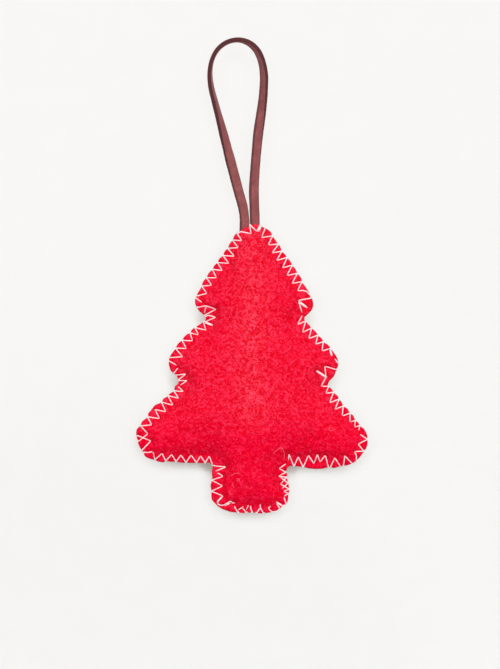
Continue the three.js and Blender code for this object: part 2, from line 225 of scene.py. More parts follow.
def face_outward(piece):
    """Turns every face of a closed mesh outward."""
    mesh = piece.data
    mesh.calc_loop_triangles()
    volume = sum(
        mesh.vertices[a].co.dot(mesh.vertices[b].co.cross(mesh.vertices[c].co))
        for a, b, c in (triangle.vertices for triangle in mesh.loop_triangles)
    )
    if volume < 0:
        mesh.flip_normals()


def on_tree(piece, slot, *nodes):
    """Turns a piece's faces outward, ties it to the tree and hides the nodes it replaces. The slot is not
    used.
    """
    face_outward(piece)
    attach(piece, "tree")
    if nodes:
        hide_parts(*nodes)


# Materials. A noise's scale is in features for each metre, and a bump's distance is in metres.


class Nodes:
    """Builds one node tree, of a material or of the world."""

    def __init__(self, owner, shader="Principled BSDF"):
        owner.use_nodes = True
        self.owner = owner
        self.tree = owner.node_tree
        self.shader = self.tree.nodes[shader]

    def feed(self, socket, value):
        """Links another node's output to a socket, or sets its number, vector or colour."""
        if isinstance(value, bpy.types.NodeSocket):
            self.tree.links.new(value, socket)
        else:
            socket.default_value = (*value, 1) if socket.type == "RGBA" else value

    def add(self, kind, output, settings=None, **inputs):
        """A new node's output. An underscore in an input's name stands for a space."""
        node = self.tree.nodes.new("ShaderNode" + kind)
        for key, value in (settings or {}).items():
            setattr(node, key, value)
        for key, value in inputs.items():
            self.feed(node.inputs[key.replace("_", " ")], value)
        return node.outputs[output]

    def set(self, **inputs):
        for key, value in inputs.items():
            self.feed(self.shader.inputs[key.replace("_", " ")], value)

    def show(self, shader):
        self.tree.links.new(shader, self.tree.nodes["Material Output"].inputs["Surface"])

    def noise(self, scale, detail=2.0, roughness=0.5, distortion=0.0):
        place = self.add("TexCoord", "Object")
        form = {"Scale": scale, "Detail": detail, "Roughness": roughness, "Distortion": distortion}
        return self.add("TexNoise", "Fac", Vector=place, **form)

    def ramp(self, factor, stops):
        colour = self.add("ValToRGB", "Color", Fac=factor)
        elements = colour.node.color_ramp.elements
        while len(elements) < len(stops):
            elements.new(0.5)
        for element, (place, shade) in zip(elements, stops):
            element.position = place
            element.color = (*shade, 1)
        return colour

    def numbered(self, node, *values):
        """Feeds the inputs of a node whose sockets share their names, by number."""
        for number, value in values:
            self.feed(node.inputs[number], value)

    def mix(self, factor, first, second):
        node = self.tree.nodes.new("ShaderNodeMix")
        node.data_type = "RGBA"
        self.numbered(node, (0, factor), (6, first), (7, second))
        return node.outputs[2]

    def calculate(self, kind, first, second):
        node = self.tree.nodes.new("ShaderNodeMath")
        node.operation = kind
        self.numbered(node, (0, first), (1, second))
        return node.outputs["Value"]

    def weighed(self, first, *others):
        """A sum of values times their weights."""
        total = self.calculate("MULTIPLY", *first)
        for pair in others:
            total = self.calculate("ADD", total, self.calculate("MULTIPLY", *pair))
        return total

    def spread(self, value, low, high, to_low=0.0, to_high=1.0):
        ends = {"From Min": low, "From Max": high, "To Min": to_low, "To Max": to_high}
        return self.add("MapRange", "Result", Value=value, **ends)

    def bump(self, height, distance, strength, **over):
        return self.add("Bump", "Normal", Height=height, Distance=distance, Strength=strength, **over)


def felt_material():
    """Matted wool: short fibres swirl every way, pale where their tips stand up and deep between them.

    Down the middle a painted highlight makes the tips a little paler still, where the light would catch the
    felt's ridge.
    """
    nodes = Nodes(bpy.data.materials.new("red_wool_felt"))
    patches = nodes.noise(300, 2, 0.6, 0.6)
    lie = nodes.noise(430, 1.5, 0.6, 0.5)
    turns = 26.0
    strokes = nodes.calculate("SINE", nodes.calculate("MULTIPLY", lie, turns), 0.0)
    strokes = nodes.spread(strokes, -1, 1)
    tufts = nodes.noise(1300, 2, 0.6, 1.2)
    shade = nodes.weighed((strokes, 0.16), (tufts, 0.62), (patches, 0.22))
    stops = [
        (0.4, (0.8, 0.0, 0.014)),
        (0.46, (0.92, 0.0, 0.026)),
        (0.5, (0.97, 0.0, 0.035)),
        (0.54, (1.0, 0.0, 0.042)),
        (0.6, (1.0, 0.024, 0.084)),
    ]
    # Painted highlight: down the middle of the felt the pale tips are whitened a little, as if the light
    # caught the ridge there.
    painted_highlight = nodes.add("Attribute", "Fac", {"attribute_name": "painted_highlight"})
    highlight_whitening = nodes.calculate("MULTIPLY", painted_highlight, nodes.spread(shade, 0.4, 0.62, 0.0, 0.05))
    colour = nodes.mix(highlight_whitening, nodes.ramp(shade, stops), (1.0, 1.0, 1.0))
    nodes.set(Base_Color=colour, Normal=nodes.bump(shade, 0.0009, 0.6), Roughness=0.37)
    nodes.set(Sheen_Weight=0.01, Sheen_Roughness=0.3, Sheen_Tint=(1, 0.3, 0.4), Specular_IOR_Level=0.02)
    return nodes.owner


def fibre_material(name, scale, stops, **finish):
    """Loose wool fibres, a little different in colour from place to place."""
    nodes = Nodes(bpy.data.materials.new(name))
    nodes.set(Base_Color=nodes.ramp(nodes.noise(scale, 1), stops), Roughness=0.6, **finish)
    return nodes.owner


def thread_material():
    """Spun white thread: fine filaments along the plies, picking up a little red fluff."""
    nodes = Nodes(bpy.data.materials.new("white_sewing_thread"))
    filaments = nodes.noise(5200, 3, 0.7, 1.0)
    clean = nodes.ramp(filaments, [(0.3, (0.97, 0.86, 0.88)), (0.6, (1.0, 0.97, 0.98))])
    soiled = nodes.spread(nodes.noise(240), 0.5, 0.75, 0, 0.3)
    colour = nodes.mix(soiled, clean, (1.0, 0.72, 0.76))
    nodes.set(Base_Color=colour, Normal=nodes.bump(filaments, 0.00005, 0.4), Roughness=0.5)
    nodes.set(Sheen_Weight=0.45, Sheen_Roughness=0.3, Specular_IOR_Level=0.5)
    return nodes.owner


def suede_material():
    """Maroon suede lace: napped faces, darker cut edges, a darker band painted along the left-hand border,
    and lighter where it is worn.
    """
    nodes = Nodes(bpy.data.materials.new("maroon_suede"))
    edge = nodes.add("Attribute", "Fac", {"attribute_name": "cut_edge_and_left_band"})
    nap = nodes.noise(2600, 3, 0.65, 0.8)
    patches = nodes.noise(260, 3, 0.6, 0.4)
    shade = nodes.weighed((nap, 0.55), (patches, 0.45))
    stops = [(0.35, (0.2, 0.055, 0.056)), (0.52, (0.3, 0.085, 0.085)), (0.68, (0.4, 0.135, 0.13))]
    cut = nodes.ramp(nap, [(0.35, (0.06, 0.015, 0.018)), (0.65, (0.13, 0.034, 0.038))])
    relief = nodes.bump(nap, 0.00015, 0.6, Normal=nodes.bump(patches, 0.0003, 0.4))
    nodes.set(Base_Color=nodes.mix(edge, nodes.ramp(shade, stops), cut), Normal=relief, Roughness=0.85)
    nodes.set(Sheen_Weight=0.35, Sheen_Roughness=0.4, Sheen_Tint=(1, 0.72, 0.72), Specular_IOR_Level=0.25)
    return nodes.owner


def filling_material():
    nodes = Nodes(bpy.data.materials.new("white_fibre_fill"))
    strands = nodes.noise(1400, 4, 0.7, 2.5)
    colour = nodes.ramp(strands, [(0.3, (0.72, 0.71, 0.68)), (0.7, (0.92, 0.91, 0.88))])
    nodes.set(Base_Color=colour, Normal=nodes.bump(strands, 0.0006, 0.8), Roughness=1.0)
    nodes.set(Sheen_Weight=0.3, Specular_IOR_Level=0.1)
    return nodes.owner


FELT = felt_material()
FUZZ = fibre_material(
    "red_wool_fibres",
    900,
    [(0.35, (0.94, 0.0, 0.033)), (0.65, (1.0, 0.02, 0.075))],
    Sheen_Weight=0.01,
    Sheen_Tint=(1, 0.3, 0.4),
    Specular_IOR_Level=0.04,
)
STRAY = fibre_material(
    "pale_wool_fibres",
    700,
    [(0.4, (1.0, 0.11, 0.17)), (0.6, (1.0, 0.2, 0.27))],
    Sheen_Weight=0.2,
    Specular_IOR_Level=0.3,
)
THREAD = thread_material()


# The strap


def eased_spline(knots, values, places):
    """A smooth curve through values at knots, with slopes from their neighbours."""
    slopes = np.gradient(values, knots)
    index = np.clip(np.searchsorted(knots, places, "right") - 1, 0, len(knots) - 2)
    run = knots[index + 1] - knots[index]
    t = (places - knots[index]) / run
    t2, t3 = (t * t, t * t * t)
    return (
        (2 * t3 - 3 * t2 + 1) * values[index]
        + (t3 - 2 * t2 + t) * run * slopes[index]
        + (3 * t2 - 2 * t3) * values[index + 1]
        + (t3 - t2) * run * slopes[index + 1]
    )


def strap_stations():
    """Centre points, turns and lengths along the strap's centre line, tail end to tail end."""
    tail_steps = 4
    step = 0.7
    shares = np.array(STRAP_ROUTE_SHARES, float)
    tail = np.linspace(TAIL_END_Z, PIVOT_Z, tail_steps + 1)[:-1]
    across = np.pad(shares[:, 0] * LOOP_WIDTH, tail_steps, mode="edge")
    up = np.concatenate([tail, STRAP_HALF + (PIVOT_Z - STRAP_HALF) * shares[:, 1], tail[::-1]])
    turn = np.pad(shares[:, 2] * math.pi / 2, tail_steps)
    knots = lengths_along(np.stack([across, up], 1))
    lengths = np.linspace(0, knots[-1], int(knots[-1] / step) + 1)
    return [eased_spline(knots, row, lengths) for row in (across, up, turn)], lengths


def strap_section():
    """The lace's section: rows of how far across and through it a point lies, and 1 where it is cut edge."""
    round_steps = 5
    face_steps = 9
    half_x, half_y = (STRAP_WIDTH / 2 - STRAP_EDGE_ROUND, STRAP_HALF - STRAP_EDGE_ROUND)
    rows = []
    for quarter, (side_x, side_y) in enumerate(((1, 1), (-1, 1), (-1, -1), (1, -1))):
        for angle in np.radians(90 * quarter + np.linspace(0, 90, round_steps)):
            cos, sin = (math.cos(angle), math.sin(angle))
            x, y = (side_x * half_x + STRAP_EDGE_ROUND * cos, side_y * half_y + STRAP_EDGE_ROUND * sin)
            rows.append((x, y, float(abs(cos) > 0.5)))
        if side_x == side_y:
            flat = side_x * half_x * np.linspace(1, -1, face_steps)[1:-1]
            rows += [(x, side_y * STRAP_HALF, 0.0) for x in flat]
    return np.array(rows)


def make_strap():
    """One lace with slightly uneven edges, whose left border is painted darker where its face is to the
    front.
    """
    (across, up, turn), lengths = strap_stations()
    centre = lifted(np.stack([across, up], 1), np.zeros_like(across))
    along = unit(np.gradient(centre, lengths, axis=0))
    inward = np.stack([along[:, 2], np.zeros_like(across), -along[:, 0]], 1)
    face = inward * np.sin(turn)[:, None] - OUT * np.cos(turn)[:, None]
    width = np.cross(along, face)[:, None]
    section_x, section_y, section_cut = strap_section().T
    random = np.random.default_rng(31)
    wander, wander_steps, rough = (0.03, 40, 0.02)
    knots = np.linspace(0, lengths[-1], wander_steps)
    breadth = 1 + np.interp(lengths, knots, random.normal(0, wander, wander_steps))[:, None]
    points = centre[:, None] + width * (section_x * breadth)[:, :, None]
    points = points + face[:, None] * section_y[None, :, None]
    rings, count = points.shape[:2]
    uneven = random.normal(0, rough, (rings, count, 1))
    points = points + uneven * (width * np.sign(section_x)[None, :, None])
    index = np.arange(rings * count).reshape(rings, count)
    caps = [index[0][::-1][None, :], index[-1][None, :]]
    piece = new_piece("hanging_strap", points.reshape(-1, 3), [quads(index), *caps], suede_material())
    face_outward(piece)
    # A darker band painted along the face's left border, strongest where the face is to the front, kept
    # together with the cut edges.
    border_start, border_fade, border_depth = (0.85, 0.4, 0.8)
    left_of_centre = centre[:, None, 0] - points[..., 0]
    left_band = border_depth * smooth((left_of_centre - border_start) / border_fade) * np.cos(turn)[:, None]
    point_attribute(piece, "cut_edge_and_left_band", np.maximum(section_cut[None], left_band))
    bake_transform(piece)
    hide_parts("hanger_loop", "hanger_tail_left", "hanger_tail_right")


make_strap()


# The outline. A station is a place round it, clockwise: each even number starts a corner's arc, and the odd
# number after it the side that follows.


def make_corners():
    """The outline's corners, clockwise from the tip: place, way on, way in, turn and rounding of each."""
    table = np.array(CORNER_SHARES)
    shares = np.concatenate([table[:, 2:4], table[::-1, 0:2]])
    points = (TREE_OFFSET, FOOT_Z) + shares * (TREE_WIDTH, TREE_HEIGHT)
    along = unit(np.roll(points, -1, 0) - points)
    inward = np.stack([along[:, 1], -along[:, 0]], 1)
    before = np.roll(along, 1, 0)
    cross = before[:, 0] * along[:, 1] - before[:, 1] * along[:, 0]
    turn = np.arctan2(cross, (before * along).sum(1))
    return points, along, inward, turn, np.concatenate([table[:, 4], table[::-1, 4]]) * TREE_WIDTH


CORNERS, ALONG, INWARD, TURN, ROUND = make_corners()


def inset_corner(index, inset):
    """The rounded corner moved in from the cut edge: start, centre and end of its arc."""
    before = index - 1
    spread = 1 + (INWARD[before] * INWARD[index]).sum(1)
    shift = (inset / spread)[:, None]
    middle = CORNERS[index] + (INWARD[before] + INWARD[index]) * shift
    outer = TURN[index] < 0
    radius = np.where(outer, np.maximum(ROUND[index] - inset, TIGHT_ROUND), ROUND[index] + inset)
    reach = (radius * np.tan(np.abs(TURN[index]) / 2))[:, None]
    start = middle - ALONG[before] * reach
    centre = start + INWARD[before] * (np.where(outer, 1, -1) * radius)[:, None]
    return start, centre, middle + ALONG[index] * reach


def outline_at(station, inset):
    """Points of the outline moved in by inset, for stations and insets that go together."""
    station, inset = np.broadcast_arrays(np.asarray(station, float), np.asarray(inset, float))
    shape = station.shape
    wrapped = np.mod(station.ravel(), SECTOR_COUNT)
    inset = inset.ravel()
    sector = np.floor(wrapped).astype(int)
    share = wrapped - sector
    index = sector // 2
    start, centre, end = inset_corner(index, inset)
    following = inset_corner((index + 1) % len(CORNERS), inset)[0]
    cos, sin = (np.cos(TURN[index] * share), np.sin(TURN[index] * share))
    arm_x, arm_z = (start - centre).T
    arc = centre + np.stack([arm_x * cos - arm_z * sin, arm_x * sin + arm_z * cos], 1)
    side = end + (following - end) * share[:, None]
    return np.where((sector % 2 == 1)[:, None], side, arc).reshape(*shape, 2)


def mirror_station(station):
    return SECTOR_COUNT - 1 - station


def half_stations(step):
    """Stations of one half from the middle of the tip to the middle of the foot, about a step apart."""
    sample_count = 9
    just_short = 1e-6
    edges = np.concatenate([[TIP_STATION], np.arange(0, FOOT_STATION), [FOOT_STATION]])
    stations = []
    for low, high in zip(edges[:-1], edges[1:]):
        samples = np.linspace(low, high - just_short, sample_count)
        run = 0
        for places in (samples, mirror_station(samples)):
            for inset in (0, SEAM_INSET):
                run = max(run, lengths_along(outline_at(places, inset))[-1])
        count = max(2, math.ceil(run / step))
        stations += list(low + (high - low) * np.arange(count) / count)
    return np.array([*stations, FOOT_STATION])


def spine_points(station):
    """Where on the centre line the felt's surface runs in to from each station."""
    row = np.where(station > FOOT_STATION, mirror_station(station), station)
    spine = [row_shares[5] for row_shares in CORNER_SHARES]
    knots = [TIP_STATION, *range(CORNER_COUNT), CORNER_COUNT - 0.5]
    up = np.interp((row + TIP_STATION) / 2, knots, [SPINE_TOP_SHARE, *spine, SPINE_FOOT_SHARE])
    return np.stack([np.full_like(up, TREE_OFFSET), FOOT_Z + up * TREE_HEIGHT], 1)


def part_half(plan):
    """Half the gap between the felts: they part round the strap's ends and close beside them."""
    x, z = plan.T
    opened = smooth((z - (TAIL_END_Z - PART_RUN)) / PART_RUN)
    left, right = (STRAP_ROUTE_SHARES[0][0] * LOOP_WIDTH, STRAP_ROUTE_SHARES[-1][0] * LOOP_WIDTH)
    beside = np.maximum(left - STRAP_WIDTH / 2 - x, x - right - STRAP_WIDTH / 2)
    close_run = 3.4
    near = smooth(1 - (beside - SEAT_GAP) / close_run)
    rest = SEAT_GAP / 2
    return rest + (STRAP_HALF + SEAT_GAP - rest) * opened * near


# The photograph's frame: millimetres for each pixel in the strap's plane, the pixels of the hanging point and
# of the picture's middle, and how much nearer to the camera the seam lies, as a share of the way
PIXEL = 0.3826
HANG_PIXEL = (237.5, 41.6)
MIDDLE_PIXEL = (249.5, 334.0)
SEAM_NEARER = 0.0035

# The seam, clockwise from the tip, in pixels of the photograph, each point read off enlarged crops.
# A run is one stretch of thread. Its letters say what the thread does at each point: R goes over the rim,
# and two in a row run along it, H goes into the felt, and B bends on top of it.
SEAM_RUNS = [
    ("HRHRRHRHRHRHRHRHRHRHBBRRHH", [
        (250.7, 233.3), (249.6, 224.8), (256.3, 231), (259.8, 225.8), (264.9, 227.7), (260.9, 237.1),
        (272.4, 235.2), (267.6, 244.5), (277.6, 243.6), (271.6, 252.4), (280.6, 251), (276.1, 259.9),
        (286.2, 257.5), (281.9, 267.4), (291.4, 265.2), (286.3, 275.1), (296.3, 273.2), (291.5, 282.9),
        (301.2, 281.7), (296.9, 290.5), (302, 289.9), (306.1, 290.8), (309.4, 293.4), (311.2, 297.4),
        (297.7, 299.9), (307, 306.7),
    ]),
    ("HH", [(298, 301), (301.7, 311.9)]),
    ("HHRHRHRHRHRH", [
        (301.9, 314.7), (297.1, 324.2), (305.2, 320.9), (302, 332), (310.8, 328.4), (308.4, 338.2),
        (317.1, 335.3), (315.2, 343.9), (322.9, 341.7), (321.4, 350.6), (330.1, 348.5), (332.2, 355.9),
    ]),
    ("HRRHHHRHRHRHRHRHRHRH", [
        (334.3, 358.2), (337.8, 362), (336.3, 369.7), (324.4, 365.8), (325.6, 376.9), (320.6, 385.9),
        (327.9, 386.4), (325.3, 393.2), (332.9, 392.2), (329.2, 402.6), (338.4, 399.4), (334.5, 409.1),
        (342.6, 406.4), (341.8, 415.8), (349.8, 413.2), (349.5, 421.9), (354.9, 420.6), (354.4, 427.2),
        (359.4, 425.7), (358.4, 430.8),
    ]),
    ("HH", [(316, 369.7), (327.1, 377.2)]),
    ("HRHRHBRRHBRRHRRHHHHHRHRHH", [
        (359.7, 434), (366.9, 439.2), (357.8, 443.8), (362.6, 450.6), (354.3, 451.4), (356.3, 456.1),
        (356.3, 459.9), (351.5, 463.4), (344.3, 455.4), (344, 458.9), (343.4, 465.2), (339.6, 466.1),
        (334.4, 457.5), (330.5, 467), (327.9, 466.6), (325, 454.8), (319.6, 462), (317, 454),
        (313.6, 463.7), (308.1, 454.9), (302.8, 466.6), (297.8, 456.3), (293.6, 465.8), (288.4, 453.5),
        (288, 460.3),
    ]),
    ("HHRHRHRHRHRRH", [
        (285.5, 463.7), (278.6, 468.4), (284.6, 472.1), (277.6, 476.3), (285.8, 477.5), (280, 483.9),
        (288.1, 489), (283.3, 491.3), (287.4, 493.7), (283.3, 496.5), (284.6, 502.7), (281.3, 505.9),
        (275.2, 502.2),
    ]),
    ("HRRBH", [
        (275.9, 503.5), (279.7, 508.5), (271.3, 511.9), (269, 510), (267.7, 506.2),
    ]),
    ("HBBBBBBHRHRHBH", [
        (234.7, 502.6), (232.6, 502.9), (229.8, 501), (223.4, 504.9), (220.3, 505.4), (217.5, 504.1),
        (216.8, 502.4), (222.6, 495.7), (211.3, 491.2), (222.2, 485.7), (211.7, 480.1), (222.7, 476.1),
        (217.5, 472.8), (216.4, 474.5),
    ]),
    ("HHBRHRHRHRHRHRHRHBRRHRRHRHRHHHRHRHRHH", [
        (215, 471), (225.6, 466.6), (215, 465.9), (211.9, 464.6), (208.7, 455.8), (204.6, 462.3),
        (200, 455.6), (195.7, 462.1), (190.4, 454.7), (185.5, 462.1), (180.3, 454.7), (175.5, 461),
        (171, 454.2), (165.2, 460.4), (161.5, 453), (154.5, 459), (152.4, 451.4), (147, 452.3),
        (143.3, 452.4), (141.2, 449.7), (150.2, 440.6), (136, 435.4), (137.2, 441.4), (147.3, 433.4),
        (140.2, 425.7), (151.1, 424.6), (147.3, 417.1), (159, 418.4), (154.2, 409.2), (165.4, 411.6),
        (161.3, 402.3), (172.4, 405), (167.9, 395.8), (178.1, 398), (173.8, 390.8), (182.8, 391.3),
        (177.4, 386.2),
    ]),
    ("HHRHRRH", [
        (179.5, 385), (186.6, 380.2), (179.8, 378.8), (185.4, 373.6), (176.1, 374.7), (173.6, 372.4),
        (177.5, 367.5),
    ]),
    ("HRRHRHRHRHRHRRHBRHBR", [
        (176.1, 364.9), (168.5, 361), (169.4, 357), (182, 356.4), (175.4, 347.9), (185.7, 348.2),
        (182.1, 340.3), (191.9, 340.5), (189.9, 332.9), (197.9, 334.6), (194.8, 327.4), (205.5, 329.8),
        (202.5, 322), (204.2, 321), (215.3, 316.8), (207.6, 314.7), (204.9, 315), (215.6, 308.7),
        (204.9, 305.2), (196.5, 306.8),
    ]),
    ("HH", [(204.2, 321.3), (212.7, 324.5)]),
    ("HH", [(203.9, 312.6), (205.4, 305.8)]),
    ("HRRHRHRHRHRHRHRHRHRBH", [
        (201.8, 302.2), (195.3, 297.7), (196.5, 295), (206.2, 292.9), (201.5, 285.9), (211.1, 284.8),
        (206.5, 277.3), (215.9, 277.3), (212.4, 269.2), (221.9, 270.1), (217.4, 262.4), (228.3, 262.9),
        (223.3, 255.4), (233.8, 255.8), (228, 248.1), (237.9, 247.3), (232.8, 239.8), (241.3, 240.2),
        (236.8, 232.5), (240.2, 231), (250.7, 233.3),
    ]),
]
CLOSING_RUNS = [
    ("HRH", [(279.9, 476.9), (287, 483), (281.8, 488.4)]),
    ("HBR", [(250.2, 505.8), (250.2, 508.9), (251.5, 512)]),
    ("HH", [(248, 505.1), (245.9, 509.6)]),
    ("HBR", [(233.8, 505.9), (236.3, 511.2), (237.8, 512.4)]),
    ("HH", [(270.3, 505.2), (268.8, 508)]),
    ("RBH", [(263.3, 512.9), (259.8, 507.7), (259.8, 503.9)]),
    ("HR", [(259.8, 507.7), (256, 512.5)]),
    ("RHH", [(245.9, 511.9), (241.5, 507.5), (237.7, 509.9)]),
    ("HH", [(241.5, 507.5), (242.9, 505.7)]),
]

# Legs where the thread lies double, and the stitches that lock the strap in at the tip
THICK_LEGS = [
    [(298.6, 301), (307, 306.7)],
    [(330.1, 348.5), (332.2, 355.9)],
    [(316, 369.7), (327.1, 377.2)],
    [(281.3, 505.9), (275.2, 502.2)],
    [(222.8, 496.2), (217, 502.2)],
    [(223.6, 505.2), (229.8, 501.6)],
    [(204.2, 321.3), (212.7, 324.5)],
]
LOCK_RUNS = [
    [(256.1, 230.8), (259.5, 224.6)],
    [(257.8, 231), (260.3, 227.1)],
]

# The rim between stitches, read in the same way. Elsewhere its bulges are worked out.
RIM_MARKS = [
    (240.6, 229.8), (247.5, 226), (249.4, 224.1), (252.8, 223.5), (258.9, 223.9), (261.2, 226.4),
    (266.6, 228.3), (270.4, 231), (272, 234.8), (303.5, 284), (305.8, 287), (309.6, 295.6),
    (312.6, 301.4), (312.9, 303.1), (312.4, 307.3), (310.2, 311), (307.3, 314.1), (304.4, 316.4),
    (304.1, 317.8), (306.9, 322.6), (309.4, 324.9), (325.5, 343), (327.8, 344.3), (329.4, 346.1),
    (333.4, 351.8), (335.1, 354.4), (336.7, 357.1), (337.7, 359.6), (338.1, 364.5), (337.4, 366.5),
    (335.1, 372.1), (334.7, 373.9), (333.3, 376.6), (331.3, 378.7), (329.1, 380.7), (328.1, 382.7),
    (329.9, 387.4), (332.2, 389.6), (334.2, 393.1), (336.7, 394.7), (338.2, 397.1), (345.5, 407.3),
    (347.6, 408.5), (348.5, 410.6), (351.2, 414), (353.1, 415.1), (354, 417.1), (357.1, 421.4),
    (359, 423.7), (361.4, 426.9), (363.7, 428.3), (364.8, 430.3), (367.1, 435), (367.5, 444.1),
    (365.9, 449.1), (363.4, 452.2), (361.7, 454.3), (357.1, 459.6), (352.2, 463.1), (344.1, 465.6),
    (339.6, 466.6), (333.8, 468.1), (328, 467.3), (321, 469), (314.7, 469), (308.5, 468.5),
    (302.7, 467.3), (293.6, 466.1), (286.2, 470.6), (287, 474), (287.4, 480.9), (288.5, 489.4),
    (287.7, 499.3), (286.6, 503.5), (280.1, 508.5), (272.1, 511.9), (262.9, 513.1), (250.2, 513.1),
    (243.1, 513.3), (236.1, 512.6), (230.8, 512.2), (225.6, 510.5), (215, 504.1), (211.2, 499.6),
    (210.8, 495.4), (209, 490.5), (209.8, 485.6), (211.7, 478.5), (211.2, 471.5), (162.7, 462.5),
    (156.5, 461.3), (152.4, 459.6), (147.4, 458), (143.7, 455.9), (142, 451.8), (139.9, 448.9),
    (137.9, 445.1), (136.2, 441), (135.6, 436), (135.4, 431.5), (135.8, 429.4), (141.2, 421.1),
    (147.4, 412.8), (149.1, 411.4), (153.9, 405), (162.2, 398.6), (168.2, 393.9), (174, 385.9),
    (175.9, 384.6), (177.8, 380.5), (178.2, 378.7), (176.1, 375.6), (172.6, 373.1), (169.8, 370.3),
    (168.5, 366.1), (168.4, 360.8), (169, 356.9), (190.2, 331.9), (197.2, 325.2), (203.2, 319.6),
    (204.9, 316.1), (203.5, 314.7), (198.3, 310.5), (195.8, 306.3), (194.4, 302), (194.8, 297.8),
    (196.5, 293.3),
]


def from_pixels(points):
    """X and z of points of the photograph that lie about as near to the camera as the seam does."""
    points, middle = (np.array(points, float), np.array(MIDDLE_PIXEL))
    points = middle + (points - middle) * (1 - SEAM_NEARER)
    return (points - HANG_PIXEL) * (PIXEL, -PIXEL)


class Rim:
    """Lengths along the cut edge and the stations that they belong to."""

    def __init__(self):
        point_count = 9001
        self.stations = np.linspace(TIP_STATION, TIP_STATION + SECTOR_COUNT, point_count)
        self.path = outline_at(self.stations, 0.0)
        self.lengths = lengths_along(self.path)
        self.total = self.lengths[-1]
        along = unit(np.gradient(self.path, axis=0))
        self.inward = np.stack([along[:, 1], -along[:, 0]], 1)

    def station(self, length):
        return np.interp(np.mod(length, self.total), self.lengths, self.stations)

    def place(self, length):
        return outline_at(self.station(length), 0.0)

    def length(self, station):
        turned = np.mod(station - TIP_STATION, SECTOR_COUNT) + TIP_STATION
        return np.interp(turned, self.stations, self.lengths)

    def nearest(self, point):
        """The length of the nearest point of the rim, and how far the point lies inside it."""
        index = np.argmin(np.linalg.norm(self.path - point, axis=1))
        return float(self.lengths[index]), float((point - self.path[index]) @ self.inward[index])


RIM = Rim()

# A single wrap is this wide along the rim, and its thread lies this far outside the felt. A doubled leg's
# two threads lie this far apart.
WRAP_WIDTH = 0.4
WRAP_OUTSIDE = 0.12
PAIR_GAP = 1.7 * THREAD_RADIUS


class Wrap:
    """Where a thread goes round the rim: the lengths between which it does so, and how far in it lies."""

    def __init__(self, length, inside):
        self.start = length - WRAP_WIDTH / 2
        self.end = length + WRAP_WIDTH / 2
        self.knots = [(length, inside)]

    def stretch(self, length, inside):
        self.start = self.knots[0][0]
        self.end = length
        self.knots.append((length, inside))


def read_strands(runs):
    """Cuts each run where its thread goes in. A strand is a list of stops: places in plan, and wraps."""
    strands = []
    for kinds, pixels in runs:
        stops = []
        for step, (kind, point) in enumerate(zip(kinds, from_pixels(pixels))):
            if kind == "R" and step > 0 and kinds[step - 1] == "R":
                stops[-1].stretch(*RIM.nearest(point))
            elif kind == "R":
                stops.append(Wrap(*RIM.nearest(point)))
            else:
                stops.append(point)
            if kind == "H" and len(stops) > 1:
                strands.append(stops)
                stops = [point]
        if len(stops) > 1:
            strands.append(stops)
    return strands


def doubled(legs):
    """A second thread close beside each of these legs."""
    strands = []
    for low, high in (from_pixels(leg) for leg in legs):
        along = (high - low) / np.linalg.norm(high - low)
        beside = np.array([along[1], -along[0]]) * PAIR_GAP
        strands.append([low + beside, high + beside])
    return strands


SEAM_STRANDS = read_strands(SEAM_RUNS) + doubled(THICK_LEGS)
CLOSING_STRANDS = read_strands(CLOSING_RUNS)
ALL_STRANDS = SEAM_STRANDS + CLOSING_STRANDS


def strand_places(strand):
    """The stops of a strand as places in plan, a wrap as its two ends."""
    places = []
    for stop in strand:
        if isinstance(stop, Wrap):
            places += [RIM.place(stop.start), RIM.place(stop.end)]
        else:
            places.append(stop)
    return places


def strand_legs(strands):
    legs = []
    for places in map(strand_places, strands):
        legs += [[*low, *high] for low, high in zip(places[:-1], places[1:])]
    return np.array(legs)


def strand_holes(strands):
    ends = [end for strand in strands for end in (strand[0], strand[-1])]
    return np.array([end for end in ends if not isinstance(end, Wrap)])


ALL_LEGS = strand_legs(ALL_STRANDS)
ALL_HOLES = strand_holes(ALL_STRANDS)
FAR = 1e9


def leg_distance(points, legs):
    """How far each point lies from the nearest leg, in plan."""
    nearest = np.full(len(points), FAR)
    for x0, z0, x1, z1 in legs:
        run = np.array([x1 - x0, z1 - z0])
        offset = points - np.array([x0, z0])
        share = np.clip(offset @ run / (run @ run), 0, 1)
        nearest = np.minimum(nearest, np.linalg.norm(offset - share[:, None] * run, axis=1))
    return nearest


def point_distance(points, targets):
    nearest = np.full(len(points), FAR)
    for target in targets:
        nearest = np.minimum(nearest, np.linalg.norm(points - target, axis=1))
    return nearest


# The felt bulges between two wraps, least where the edge faces down. The rim lies no further in or out
# than this, and places closer together than this count as one.
BULGE = 0.5
BULGE_BELOW = 0.2
STITCH_PITCH = 3.4
MOST_INSIDE = 1.5
MOST_OUTSIDE = 0.9
KNOTS_APART = 0.35


def sorted_knots(rows):
    """Rows of length and more, in order along the rim, without neighbours that all but meet."""
    rows = np.array(rows)
    rows[:, 0] = np.mod(rows[:, 0], RIM.total)
    rows = rows[np.argsort(rows[:, 0])]
    rows = rows[np.concatenate([[True], np.diff(rows[:, 0]) > KNOTS_APART])]
    turn = np.zeros(rows.shape[1])
    turn[0] = RIM.total
    return np.concatenate([rows[-1:] - turn, rows, rows[:1] + turn])


def rim_knots():
    """The wraps' lengths, and each known place of the rim: length, distance inside, 1 where a wrap is."""
    wraps = [stop for strand in ALL_STRANDS for stop in strand if isinstance(stop, Wrap)]
    held = [(length, inside - WRAP_OUTSIDE, 1.0) for wrap in wraps for length, inside in wrap.knots]
    marks = [(*RIM.nearest(mark), 0.0) for mark in from_pixels(RIM_MARKS)]
    known = sorted_knots(held + marks)
    known[:, 1] = np.clip(known[:, 1], -MOST_OUTSIDE, MOST_INSIDE)
    return sorted_knots(held)[:, 0], known


WRAP_LENGTHS, KNOTS = rim_knots()


